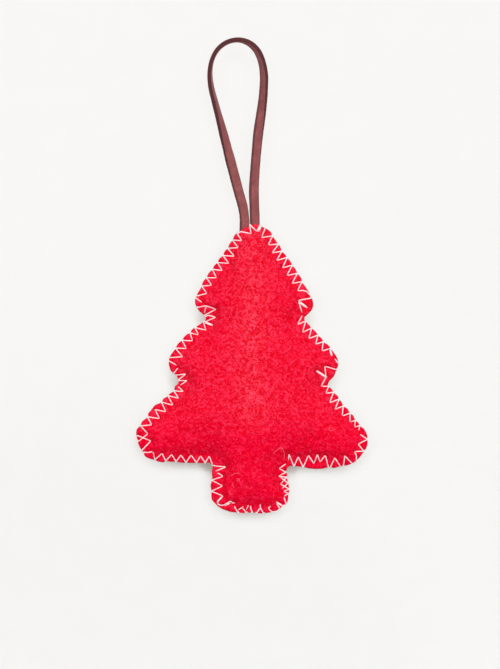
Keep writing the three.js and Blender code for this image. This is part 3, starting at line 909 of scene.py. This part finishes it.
def gap_phase(lengths, places, seed):
    """How far each length is from the places beside it, 0 to about 1, a little different in each gap."""
    tight, slack = (0.75, 1.2)
    narrow, wide = (0.1, 1.3)
    fullness = 0.7
    number = np.clip(np.searchsorted(places, lengths, "right"), 1, len(places) - 1)
    gap = places[number] - places[number - 1]
    share = np.clip((lengths - places[number - 1]) / gap, 0, 1)
    loose = np.random.default_rng(seed).uniform(tight, slack, len(places))[number]
    return np.sin(math.pi * share) ** fullness * loose * np.clip(gap / STITCH_PITCH, narrow, wide), number


def rim_shape(stations):
    """How far the rim lies inside the cut edge, and how far each place is from a wrap, 0 to about 1."""
    facing_down, facing_run = (1.2, 0.9)
    lengths = RIM.length(stations)
    places, inside, held = KNOTS.T
    swell, number = gap_phase(lengths, places, 8)
    inward = RIM.inward[np.searchsorted(RIM.lengths, lengths).clip(0, len(RIM.lengths) - 1)]
    reach = BULGE_BELOW + (BULGE - BULGE_BELOW) * smooth((facing_down - inward[:, 1]) / facing_run)
    between = held[number] * held[number - 1]
    inset = np.interp(lengths, places, inside) - reach * swell * between
    return inset, gap_phase(lengths, WRAP_LENGTHS, 9)[0]


# The felts


def lattice_noise(points, scale, seed):
    """Smooth noise about zero over a plane, from a random lattice with that spacing."""
    size = 256
    values = np.random.default_rng(seed).uniform(-1, 1, (size, size))
    place = points / scale
    cell = np.floor(place).astype(int)
    share = place - cell
    across, up = (share * share * share * (share * (share * 6 - 15) + 10)).T
    column, row = (cell % size).T
    right, above = ((column + 1) % size, (row + 1) % size)
    lower = values[row, column] * (1 - across) + values[row, right] * across
    upper = values[above, column] * (1 - across) + values[above, right] * across
    return lower * (1 - up) + upper * up


def layered_noise(points, scale, seed, layers=3):
    """Layers of noise, each half as large as the one before, turned and shifted against it."""
    first_turn, turn, shift = (0.6, 1.1, 37.1)
    total = np.zeros(len(points))
    for layer in range(layers):
        angle = first_turn + turn * layer
        cos, sin = (math.cos(angle), math.sin(angle))
        turned = points @ np.array([[cos, sin], [-sin, cos]]) + shift * layer
        total += lattice_noise(turned, scale / 2**layer, seed + layer) / 2**layer
    return total


# The felt's grid: columns round the rim, rings from the seam in to the spine, and rings of the band
# between the seam and the rim
RIM_STEP = 0.42
INNER_RINGS = 46
INNER_SHARES = (np.arange(INNER_RINGS + 1) / INNER_RINGS) ** 1.25
UNDER_SHARES = (0.0, 0.1, 0.34, 0.66, 1.0)
BAND_INSETS = (4.4, 4.0, 3.55, 3.1, 2.65, 2.2, 1.75, 1.35, 1.0, 0.7, 0.45, 0.25, 0.1, 0.0)
HALF_STATIONS = half_stations(RIM_STEP)
LAST = len(HALF_STATIONS) - 1
STATIONS = np.concatenate([HALF_STATIONS, mirror_station(HALF_STATIONS[1:-1][::-1])])
COLUMNS = len(STATIONS)
SPINE_OF = np.where(np.arange(COLUMNS) <= LAST, np.arange(COLUMNS), 2 * LAST - np.arange(COLUMNS))
SEAM_PLAN = outline_at(STATIONS, SEAM_INSET)
SPINE_PLAN = spine_points(STATIONS)
INNER_PLAN = SEAM_PLAN[None] + (SPINE_PLAN - SEAM_PLAN)[None] * INNER_SHARES[:, None, None]


def ring_index(rings, start, spine_ring):
    """Point numbers for rings of the felt, where the spine's ring is shared by both halves."""
    index = start + np.arange(rings * COLUMNS).reshape(rings, COLUMNS)
    index[spine_ring] = index[spine_ring][SPINE_OF]
    return index


def skin_springs(points, index):
    """A skin's finite elements over its plan: pairs of points, their weights, and each point's area."""
    sliver = 1e-7
    triangles = halved(quads(index))
    a, b, c = (points[triangles[:, corner]] for corner in range(3))
    cross = np.abs((b[:, 0] - a[:, 0]) * (c[:, 1] - a[:, 1]) - (b[:, 1] - a[:, 1]) * (c[:, 0] - a[:, 0]))
    keep = cross > sliver
    triangles, cross, a, b, c = (rows[keep] for rows in (triangles, cross, a, b, c))
    area = np.bincount(triangles.ravel(), np.repeat(cross / 6, 3), len(points))
    pairs = [triangles[:, ends] for ends in ([1, 2], [2, 0], [0, 1])]
    weights = [((q - p) * (r - p)).sum(1) / cross / 2 for p, q, r in ((a, b, c), (b, c, a), (c, a, b))]
    return np.concatenate(pairs), np.concatenate(weights), area


def solve_puff(plan, held):
    """A stiff skin over the plan, pushed out by the filling and held where told: heights from 0 to 1."""
    tiny = 1e-12
    most_steps = 900
    index = ring_index(len(plan), 0, len(plan) - 1)
    pairs, weights, area = skin_springs(plan.reshape(-1, 2), index)
    count = len(area)
    spring = area / FILL_REACH**2
    diagonal = spring + np.bincount(pairs[:, 0], weights, count) + np.bincount(pairs[:, 1], weights, count)
    free = np.zeros(count, bool)
    free[np.unique(index)] = True
    free &= ~held & (diagonal > tiny)

    def pull(heights):
        pushed = np.bincount(pairs[:, 0], weights * heights[pairs[:, 1]], count)
        pushed += np.bincount(pairs[:, 1], weights * heights[pairs[:, 0]], count)
        return np.where(free, diagonal * heights - pushed, 0)

    height = np.zeros(count)
    rest = np.where(free, spring, 0)
    scale = np.where(free, 1 / np.maximum(diagonal, tiny), 0)
    step = scale * rest
    energy = rest @ step
    enough = 1e-8 * energy
    for _ in range(most_steps):
        moved = pull(step)
        size = energy / (step @ moved)
        height += size * step
        rest -= size * moved
        eased = scale * rest
        new_energy = rest @ eased
        if new_energy < enough:
            break
        step = eased + step * new_energy / energy
        energy = new_energy
    return (height / height.max())[index]


# The felt swells from its rim on, before the filling lifts it: a rise and a slope at the seam, and the
# run over which that slope fades inside the seam. Its inner face follows with a share of the swell.
SEAM_SWELL = 1.0
SEAM_SLOPE = 0.42
SWELL_RUN = 3.0
FULL_SWELL = SEAM_SWELL + SEAM_SLOPE * SWELL_RUN
UNDER_SWELL_SHARE = 0.8


def puff_height(share, away):
    """How far the filling pushes the felt out, easing in from the seam and nowhere too steep."""
    toe = 0.14
    start_power = 1.45
    steepest = 0.55
    clear = 0.2
    least = 1e-6
    sharpness = 4
    share = np.maximum(share, 0)
    eased = (1 + toe) * share**start_power / (share ** (start_power - PUFF_POWER) + toe)
    natural = np.maximum((PUFF_DEPTH - FULL_SWELL) * eased, least)
    return (natural**-sharpness + (steepest * away + clear) ** -sharpness) ** (-1 / sharpness)


def seam_distance():
    """How far each point of the inner plan lies from the seam's ring."""
    ring = KDTree(COLUMNS)
    for number, (x, z) in enumerate(SEAM_PLAN):
        ring.insert((x, 0, z), number)
    ring.balance()
    away = [ring.find((x, 0, z))[2] for x, z in INNER_PLAN.reshape(-1, 2)]
    return np.reshape(away, INNER_PLAN.shape[:2])


def make_puff():
    """The puffed skin, held along the seam and, in the outer rings, where a thread holds it down."""
    pinned_rings = 20
    pinned_reach = 0.3
    near = INNER_PLAN[:pinned_rings].reshape(-1, 2)
    held = np.zeros(INNER_PLAN[..., 0].size, bool)
    held[: len(near)] = leg_distance(near, ALL_LEGS) < pinned_reach
    held[:COLUMNS] = True
    return solve_puff(INNER_PLAN, held)


SEAM_AWAY = seam_distance()
INNER_SWELL = SEAM_SWELL + SEAM_SLOPE * SWELL_RUN * (1 - np.exp(-SEAM_AWAY / SWELL_RUN))
PUFF_HEIGHT = puff_height(make_puff(), SEAM_AWAY)
UNDER_HEIGHT = PUFF_HEIGHT + (INNER_SWELL - SEAM_SWELL) * UNDER_SWELL_SHARE

# A thread's leg presses the felt in, and where it goes in the felt sinks: depth and width
LEG_DENT = (0.6, 0.58)
HOLE_DENT = (0.85, 0.85)

# Unevenness, as height and spacing: large and small lumps of filling, and the felt's own grain
LARGE_LUMPS = (0.42, 17)
SMALL_LUMPS = (0.3, 9)
COARSE_GRAIN = (0.16, 3.2)
BAND_GRAIN = (0.1, 2.4)
FINE_GRAIN = (0.05, 0.8)

# The filling's lumps come in over this much height above the seam's swell
LUMP_RISE = 3.5

# The cut edge: the inset over which it rounds over, the height that it starts from, its least height, and
# the bulge of the felt between legs
EDGE_ROUND = 0.75
EDGE_LOW = 0.22
EDGE_LEAST = 0.15
LEG_BULGE = 0.45


def uneven(noise, plan, form, seed, **layers):
    """Noise at places in plan, of a form given as height and spacing."""
    height, spacing = form
    return height * noise(plan, spacing, seed, **layers)


def fine_grain(plan, seed):
    return uneven(lattice_noise, plan, FINE_GRAIN, seed + 9)


def dents(plan):
    """How far the threads press the felt in at places in plan."""
    legs = hollow(leg_distance(plan, ALL_LEGS), *LEG_DENT)
    return legs + hollow(point_distance(plan, ALL_HOLES), *HOLE_DENT)


def inner_face(seed):
    """The outer face inside the seam, ring by ring from the spine out."""
    seam_grain = 0.4
    plan = INNER_PLAN[::-1].reshape(-1, 2)
    height = (PUFF_HEIGHT + INNER_SWELL)[::-1].ravel()
    inside = smooth((height - SEAM_SWELL) / LUMP_RISE)
    lumps = uneven(lattice_noise, plan, LARGE_LUMPS, seed)
    lumps += uneven(lattice_noise, plan, SMALL_LUMPS, seed + 40)
    grain = uneven(layered_noise, plan, COARSE_GRAIN, seed + 1) + fine_grain(plan, seed)
    grain *= seam_grain + (1 - seam_grain) * inside
    top = part_half(plan) + FELT_THICKNESS + height + lumps * inside + grain
    return lifted(plan, top - dents(plan)).reshape(*INNER_PLAN.shape[:2], 3)


def band_swell(inset):
    """The swell between the rim and the seam, which meets the inner swell in height and in slope."""
    share = min(inset / SEAM_INSET, 1)
    end = SEAM_SLOPE * SEAM_INSET
    return SEAM_SWELL * (3 * share**2 - 2 * share**3) + end * (share**3 - share**2)


def band_ring(inset, rim_inset, phase, seed):
    """One ring of the outer face between the seam and the rim."""
    bulge_start, bulge_turn = (0.35, 0.8)
    plan = outline_at(STATIONS, inset + rim_inset * (1 - inset / BAND_INSETS[0]) ** 2)
    slope = (FELT_THICKNESS - EDGE_THICKNESS) / SEAM_INSET
    full = EDGE_THICKNESS + slope * max(inset, EDGE_ROUND) + band_swell(inset)
    angle = math.pi * min(inset / STITCH_BITE, 1) * bulge_turn + bulge_start
    bulge = LEG_BULGE * phase * math.sin(angle)
    rounding = math.sqrt(max(0.0, 1 - (1 - min(inset / EDGE_ROUND, 1)) ** 2))
    lift = EDGE_LOW + (full + bulge - EDGE_LOW - dents(plan)) * rounding
    grain = uneven(layered_noise, plan, BAND_GRAIN, seed + 1, layers=2) + fine_grain(plan, seed)
    return lifted(plan, part_half(plan) + np.maximum(lift + grain * rounding, EDGE_LEAST))


def under_face(rim_inset):
    """The inner face, ring by ring from the rim in."""
    edge_inset = 0.2
    flat_inset = 2.4
    rings = [(outline_at(STATIONS, edge_inset + rim_inset), 0.0), (outline_at(STATIONS, flat_inset), 0.0)]
    for share in UNDER_SHARES:
        height = UNDER_HEIGHT[np.searchsorted(INNER_SHARES, share)]
        rings.append((SEAM_PLAN + (SPINE_PLAN - SEAM_PLAN) * share, height))
    return np.stack([lifted(plan, part_half(plan) + height) for plan, height in rings])


def to_side(points, side):
    """From x, height, z to the shared frame, where the front faces -Y and the back +Y."""
    return points.reshape(-1, 3) * (1, -side, 1)


def painted_highlight_share(x, z):
    """How strong the painted highlight is: most down the middle, some beside it, and none round the trunk."""
    half_width = 6.5
    beside = 0.3
    start_share, fade_share = (0.24, 0.14)
    up_share = (z - FOOT_Z) / TREE_HEIGHT
    across = beside + hollow(x - TREE_OFFSET, 1 - beside, half_width)
    return across * smooth((up_share - start_share) / fade_share)


class Surface:
    """The felt's outer face as x, height, z, to lay threads and fibres on, and the side that it is on."""

    def __init__(self, points, triangles, side):
        self.points = points
        self.triangles = triangles
        self.side = side
        self.tree = BVHTree.FromPolygons(points.tolist(), triangles.tolist())

    def height(self, x, z, missing=None):
        above = 40
        hit = self.tree.ray_cast(Vector((x, above, z)), Vector((0, -1, 0)))[0]
        return hit[1] if hit is not None else missing


def make_felt(name, node, side, seed):
    rim_inset, phase = rim_shape(STATIONS)
    band = [band_ring(inset, rim_inset, phase, seed) for inset in BAND_INSETS]
    outer = np.concatenate([inner_face(seed), band])
    under = under_face(rim_inset)
    points = np.concatenate([outer.reshape(-1, 3), under.reshape(-1, 3)])
    outer_index = ring_index(len(outer), 0, 0)
    under_index = ring_index(len(under), outer[..., 0].size, len(under) - 1)
    faces = quads(np.concatenate([outer_index, under_index]))
    used = np.unique(faces)
    renumber = np.zeros(len(points), int)
    renumber[used] = np.arange(len(used))
    piece = new_piece(name, to_side(points[used], side), [renumber[faces]], FELT)
    # Painted highlight, kept on the points: how much the felt's colour is whitened down the middle.
    point_attribute(piece, "painted_highlight", painted_highlight_share(points[used, 0], points[used, 2]))
    on_tree(piece, "red_felt", node)
    return Surface(outer.reshape(-1, 3), halved(quads(outer_index)), side)


# Tubes, for threads and fibres

PLY_TURN = 2 * math.pi / 2.4
PLY_SWELL = 0.13


def resample(path, step):
    """A path's points set again, about a step apart."""
    lengths = lengths_along(path)
    places = np.linspace(0, lengths[-1], max(3, int(lengths[-1] / step) + 1))
    return np.stack([np.interp(places, lengths, path[:, axis]) for axis in range(3)], 1)


def relaxed(path, passes):
    for _ in range(passes):
        path[1:-1] = path[1:-1] / 2 + (path[:-2] + path[2:]) / 4
    return path


class Tubes:
    """Gathers closed tubes into one mesh."""

    def __init__(self):
        self.points = []
        self.faces = []
        self.caps = []
        self.count = 0

    def add(self, path, away, radius, sides, taper=0.0, swell=0.0, start=0.0):
        """A tube round a path. Away points off what it lies on, taper thins its ends, and swell and start
        shape it as two twisted plies."""
        along = unit(np.gradient(path, axis=0))
        across = unit(np.cross(along, away))
        up = np.cross(across, along)
        runs = lengths_along(path)
        angle = np.arange(sides) / sides * 2 * math.pi
        plies = 1 + swell * np.cos(2 * (angle[None] - start - PLY_TURN * runs[:, None]))
        thin = 1 - taper * np.abs(2 * runs / runs[-1] - 1) ** 3
        reach = radius * plies * thin[:, None]
        ring = across[:, None] * np.cos(angle)[None, :, None] + up[:, None] * np.sin(angle)[None, :, None]
        index = self.count + np.arange(len(path) * sides).reshape(len(path), sides)
        self.points.append((path[:, None] + ring * reach[:, :, None]).reshape(-1, 3))
        self.faces.append(quads(index))
        self.caps += [index[0][::-1], index[-1]]
        self.count += len(path) * sides

    def thread(self, path, away, radius, random):
        self.add(path, away, radius, sides=8, swell=PLY_SWELL, start=random.uniform(0, 6))

    def piece(self, name, material, side, slot, *nodes):
        blocks = [np.concatenate(self.faces), np.array(self.caps)]
        on_tree(new_piece(name, to_side(np.concatenate(self.points), side), blocks, material), slot, *nodes)


# The threads: how far apart a path's points lie, how far the thread's middle lies above the felt, the shares
# that its radius varies by, and the height under which it turns to face away from the rim. The threads of the
# closing seam and of the lock stitch lie a little on top of what they cross.

THREAD_STEP = 0.17
THREAD_RISE = 0.55 * THREAD_RADIUS
THREAD_SPREAD = (0.94, 1.08)
RIM_TURN = 1.4
CLOSING_LIFT = 0.12
LOCK_LIFT = 0.12
LOCK_LAYER = 0.18

# A thread round the rim, to its middle: share of the wrap, how far inside the rim, and share of the height
WRAP_FORM = ((0.0, 0.35, 1.0), (0.08, 0.03, 0.82), (0.3, -0.13, 0.42), (0.5, -0.17, 0.12))


def leg_path(surface, start, end, lift):
    """A straight leg in plan, lying a little pressed into the felt."""
    step = 0.3
    window = 5
    sunk = 0.04
    shares = np.linspace(0, 1, max(4, int(np.linalg.norm(end - start) / step)))
    plan = start + (end - start) * shares[:, None]
    heights = [surface.height(x, z) for x, z in plan]
    low = min((height for height in heights if height is not None), default=EDGE_THICKNESS)
    heights = np.array([low if height is None else height for height in heights])
    heights = heights + THREAD_RISE + lift
    eased = np.convolve(np.pad(heights, window // 2, mode="edge"), np.ones(window) / window, "valid")
    return lifted(plan, np.maximum(heights - sunk, eased))


def wrap_path(wrap, lift):
    """Round the rim: over its edge, along the lock between the felts, and back over it."""
    rows = [*WRAP_FORM, *((1 - share, inset, height) for share, inset, height in WRAP_FORM[-2::-1])]
    share, inset, height = np.array(rows).T
    station = RIM.station(wrap.start + (wrap.end - wrap.start) * share)
    plan = outline_at(station, inset + rim_shape(station)[0] - lift)
    return lifted(plan, height * (part_half(plan) + EDGE_THICKNESS + lift))


def strand_path(strand, surface, lift):
    """A strand's whole path: legs on the felt, wraps round the rim, and ends that go in."""
    dive = 0.6
    dive_run = 0.3
    stretches = []
    place = None
    for stop in strand:
        wrap = wrap_path(stop, lift) if isinstance(stop, Wrap) else None
        target = stop if wrap is None else wrap[0, [0, 2]]
        if place is not None:
            stretches.append(leg_path(surface, place, target, lift))
        place = target
        if wrap is not None:
            stretches.append(wrap)
            place = wrap[-1, [0, 2]]
    path = np.concatenate([stretch[:-1] for stretch in stretches] + [stretches[-1][-1:]])
    path = resample(path, THREAD_STEP)
    run = np.arange(len(path)) * THREAD_STEP
    for end, way in ((strand[0], run), (strand[-1], run[::-1])):
        if not isinstance(end, Wrap):
            path[:, 1] -= hollow(way, dive, dive_run)
    return relaxed(path, 4)


def make_seam(name, node, surface, strands, lift, seed):
    off_axis = 1e-3
    random = np.random.default_rng(seed)
    tubes = Tubes()
    middle = np.array([TREE_OFFSET, 0.0, (TIP_Z + FOOT_Z) / 2])
    for strand in strands:
        path = strand_path(strand, surface, lift)
        outward = unit((path - middle) * (1, 0, 1))
        rim_share = smooth(1 - path[:, 1] / RIM_TURN)[:, None]
        away = OUT * (1 - rim_share) + outward * rim_share + off_axis
        tubes.thread(path, away, THREAD_RADIUS * random.uniform(*THREAD_SPREAD), random)
    tubes.piece(name, THREAD, surface.side, "white_thread", node)


def make_lock_stitch(surface):
    """The short stitches over each other that lock the strap in at the tip."""
    dive = 0.5
    tubes = Tubes()
    random = np.random.default_rng(5)
    for layer, run in enumerate(LOCK_RUNS):
        path = leg_path(surface, *from_pixels(run), LOCK_LIFT + LOCK_LAYER * layer)
        path[[0, -1], 1] -= dive
        tubes.thread(relaxed(resample(path, THREAD_STEP), 3), OUT, THREAD_RADIUS, random)
    tubes.piece("lock_stitches", THREAD, surface.side, "white_thread", "hanger_lock_stitch")


# The nap: loose wool fibres that curl on the felt and stand off its rim. Each step of a fibre is as long as
# its run, its curl and wander turn it on its way, and its rise is how far it stands up.

FIBRE_COUNT = 3400
FIBRE_STEPS = 7
FIBRE_SUNK = 0.01
FIBRE_CURL = 0.55
FIBRE_WANDER = 0.25
FIBRE_RUN = (0.25, 0.6)
FIBRE_RISE = (0.05, 0.26)
FIBRE_RADIUS = (0.05, 0.095)


def fibre_path(surface, base, random):
    """A fibre that curls over the felt from its base and rises off it, or nothing where it leaves it."""
    rooted = 0.12
    heading = random.uniform(0, 2 * math.pi)
    curl = random.normal(0, FIBRE_CURL)
    run = random.uniform(*FIBRE_RUN)
    rise = random.uniform(*FIBRE_RISE)
    x, _, z = base
    path = []
    for share in np.linspace(0, 1, FIBRE_STEPS):
        height = surface.height(x, z)
        if height is None:
            return None
        lift = rise * math.sin(math.pi * (rooted + (1 - rooted) * share))
        path.append((x, height - FIBRE_SUNK + lift, z))
        heading += curl + random.normal(0, FIBRE_WANDER)
        x += run * math.cos(heading)
        z += run * math.sin(heading)
    return np.array(path)


def make_fuzz(name, surface, seed):
    random = np.random.default_rng(seed)
    corners = surface.points[surface.triangles]
    first, second = (corners[:, 1] - corners[:, 0], corners[:, 2] - corners[:, 0])
    areas = np.linalg.norm(np.cross(first, second), axis=1)
    tubes = Tubes()
    for pick in random.choice(len(areas), FIBRE_COUNT, p=areas / areas.sum()):
        u, v = random.uniform(0, 1, 2)
        if u + v > 1:
            u, v = (1 - u, 1 - v)
        path = fibre_path(surface, corners[pick, 0] + u * first[pick] + v * second[pick], random)
        if path is not None:
            tubes.add(path, OUT, random.uniform(*FIBRE_RADIUS), sides=3, taper=0.75)
    tubes.piece(name, FUZZ, surface.side, "red_felt")


# Stray pale fibres caught in the nap of the front, read in the photograph as the seam is
STRAY_RUNS = [
    [(230.8, 475.6), (232.5, 472.9), (235.2, 472.4), (239.2, 472.4)],
    [(232.5, 481.8), (231.6, 484.5), (233.9, 487.2)],
    [(227.6, 489.9), (229.9, 490.8), (228.5, 493), (231.6, 494.3)],
    [
        (272.1, 452.8), (276, 450), (280.1, 446.6), (282, 447.8), (283.4, 450.7), (284.1, 454.9),
        (283.2, 459.8),
    ],
    [(329.7, 424.6), (327.8, 428), (329, 430.5), (332.8, 429.7), (334, 428.8)],
    [(187.4, 449.7), (189.4, 454.1)],
    [(198.9, 348.9), (195.4, 351.7)],
]
STRAY_RING_MIDDLE = (237.7, 479.1)
STRAY_RING_RADIUS = 1.7
STRAY_STEP = 0.35
STRAY_LIFT = 0.12
STRAY_WAVE = 0.22
STRAY_RADIUS = 0.1


def make_stray_fibres(surface):
    """Each stray fibre lies in a low wave on the felt. One has curled up into an open ring."""
    ring_start, ring_end, ring_points = (200, 520, 12)
    waves = 2.5
    angles = np.radians(np.linspace(ring_start, ring_end, ring_points))
    ring = STRAY_RING_MIDDLE + STRAY_RING_RADIUS * np.stack([np.cos(angles), np.sin(angles)], 1)
    tubes = Tubes()
    for fibre in (*STRAY_RUNS, ring):
        places = from_pixels(fibre)
        path = relaxed(resample(lifted(places, np.zeros(len(places))), STRAY_STEP), 4)
        heights = np.array([surface.height(x, z, 0.0) for x, _, z in path])
        wave = np.sin(np.linspace(0, waves * math.pi, len(path))) ** 2
        path[:, 1] = heights + STRAY_LIFT + STRAY_WAVE * wave
        tubes.add(path, OUT, STRAY_RADIUS, sides=5, taper=0.5)
    tubes.piece("stray_fibres", STRAY, surface.side, "white_thread")


# The filling


def make_filling():
    """A lumpy pad between the felts, which stops below the strap's ends."""
    ring_picks = [4, 9, 15, 22, 30, 38, INNER_RINGS]
    lumps = (0.8, 7)
    least = 0.05
    top_z = TAIL_END_Z - SEAT_GAP
    columns = np.union1d(np.arange(0, COLUMNS, 3), [LAST])
    seam, spine = (SEAM_PLAN[columns], SPINE_PLAN[columns])
    limit = np.where(seam[:, 1] > top_z, (seam[:, 1] - top_z) / (seam[:, 1] - spine[:, 1]), 0)
    rings = []
    for share in INNER_SHARES[ring_picks]:
        moved = np.maximum(share, limit)
        plan = seam + (spine - seam) * moved[:, None]
        under = [np.interp(at, INNER_SHARES, UNDER_HEIGHT[:, column]) for at, column in zip(moved, columns)]
        sunk = np.abs(uneven(layered_noise, plan, lumps, 77))
        height = np.maximum(np.array(under) - SEAT_GAP - sunk, least)
        rings.append(lifted(plan, part_half(plan) + height))
    half = np.stack(rings[::-1])
    front = np.arange(half[..., 0].size).reshape(half.shape[:2])
    faces = quads(np.concatenate([front, front[::-1] + front.size]))
    points = np.concatenate([to_side(half, 1), to_side(half, -1)])
    piece = new_piece("filling", points, [faces], filling_material())
    weld_spine(piece)
    on_tree(piece, "fibre_fill", "stuffing")


def weld_spine(piece):
    """Joins the points that the two halves share along the centre line."""
    near = 0.02
    piece.modifiers.new("weld", "WELD").merge_threshold = near * MM
    graph = bpy.context.evaluated_depsgraph_get()
    mesh = bpy.data.meshes.new_from_object(piece.evaluated_get(graph))
    piece.modifiers.clear()
    piece.data = mesh


make_filling()
for face, thread, side, seed in (("front", "needle", 1, 11), ("back", "bobbin", -1, 61)):
    surface = make_felt(f"felt_{face}", f"{face}_felt", side, seed)
    make_seam(f"seam_{face}", f"{thread}_thread", surface, SEAM_STRANDS, 0.0, seed + 3)
    make_seam(f"closing_{face}", f"closing_{thread}_thread", surface, CLOSING_STRANDS, CLOSING_LIFT, seed + 4)
    make_fuzz(f"nap_{face}", surface, seed + 5)
    if face == "front":
        make_lock_stitch(surface)
        make_stray_fibres(surface)


# The stage


def paper_material():
    """Plain pale paper, seen through from behind. It throws back less light than it shows the camera."""
    nodes = Nodes(bpy.data.materials.new("pale_paper"))
    colour = nodes.ramp(nodes.noise(40), [(0.3, (0.866, 0.86, 0.845)), (0.7, (0.876, 0.87, 0.855))])
    seen = nodes.add("LightPath", "Is Camera Ray")
    nodes.set(Base_Color=nodes.mix(seen, (0.5, 0.5, 0.5), colour), Roughness=0.9, Specular_IOR_Level=0.0)
    mixer = nodes.tree.nodes.new("ShaderNodeMixShader")
    behind = nodes.add("NewGeometry", "Backfacing")
    clear = nodes.add("BsdfTransparent", "BSDF")
    nodes.numbered(mixer, (0, behind), (1, nodes.shader.outputs["BSDF"]), (2, clear))
    nodes.show(mixer.outputs["Shader"])
    return nodes.owner


def make_sweep():
    """One sweep of paper: a floor well under the tree that turns up into a wall behind it."""
    floor_z = -460.0
    wall_y = 900.0
    bend = 100.0
    bend_steps = 12
    half_width = 2500.0
    front_y = -2500.0
    top_z = 1500.0
    profile = [(front_y, floor_z), (0.0, floor_z)]
    for angle in np.linspace(0, math.pi / 2, bend_steps + 1):
        profile.append((wall_y - bend + bend * math.sin(angle), floor_z + bend - bend * math.cos(angle)))
    profile.append((wall_y, top_z))
    points = [(x, y, z) for y, z in profile for x in (-half_width, half_width)]
    faces = [(2 * row, 2 * row + 1, 2 * row + 3, 2 * row + 2) for row in range(len(profile) - 1)]
    new_piece("paper_sweep", points, [faces], paper_material())


def shade_material():
    """Clear, but for the soft shade that the ornament throws on what it lies against, seen from the front.

    Where a pose puts the ornament through the card, it lies against nothing there, and the shade fades out.
    """
    reach = 11.2 * MM
    toward_light = (0.12, -0.6, 0.79)
    backward = (0.0, 1.0, 0.0)
    nodes = Nodes(bpy.data.materials.new("contact_shade"))

    def openness(x, y, z):
        facing = nodes.add("CombineXYZ", "Vector", X=x, Y=y, Z=z)
        return nodes.add("AmbientOcclusion", "AO", {"samples": 12}, Distance=reach, Normal=facing)

    hidden = nodes.spread(openness(*toward_light), 0.97, 0.6)
    clear_behind = nodes.spread(openness(*backward), 0.75, 0.97)
    deep = nodes.calculate("MULTIPLY", nodes.calculate("POWER", hidden, 1.8), clear_behind)
    seen = nodes.add("LightPath", "Is Camera Ray")
    behind = nodes.add("NewGeometry", "Backfacing")
    shown = nodes.calculate("MAXIMUM", nodes.calculate("SUBTRACT", seen, behind), 0.0)
    colour = nodes.mix(nodes.calculate("MULTIPLY", deep, shown), (1, 1, 1), (0.38, 0.32, 0.28))
    nodes.show(nodes.add("BsdfTransparent", "BSDF", Color=colour))
    nodes.tree.nodes.remove(nodes.shader)
    return nodes.owner


def make_shade_card():
    card_y = 10.3
    left, right, low, high = (-130, 140, -270, 50)
    points = [(x, card_y, z) for x, z in ((left, low), (right, low), (right, high), (left, high))]
    new_piece("contact_shade", points, [[(0, 1, 2, 3)]], shade_material())


def make_world():
    """Even light from all round, a little stronger from above. The camera sees it as plain pale."""
    world = bpy.data.worlds.new("studio")
    bpy.context.scene.world = world
    nodes = Nodes(world, "Background")
    height = nodes.add("SeparateXYZ", "Z", Vector=nodes.add("TexCoord", "Generated"))
    around = nodes.spread(height, -1.0, 1.0, 0.41, 0.6)
    seen = nodes.add("LightPath", "Is Camera Ray")
    nodes.set(Strength=nodes.spread(seen, 0.0, 1.0, around, 0.9), Color=(1, 0.995, 0.985))


def add_sun(name, direction, level, spread):
    """A far soft light. Level is what it adds to a white surface that faces it."""
    data = bpy.data.lights.new(name, "SUN")
    data.energy = level * math.pi
    data.angle = math.radians(spread)
    add_object(name, data).rotation_euler = Vector(direction).to_track_quat("-Z", "Y").to_euler()


make_sweep()
make_shade_card()
make_world()
add_sun("key", (-0.12, 0.95, -0.29), 0.6, 30)
add_sun("fill", (0.6, 0.8, 0.0), 0.06, 60)
bpy.context.scene.view_settings.view_transform = "Standard"
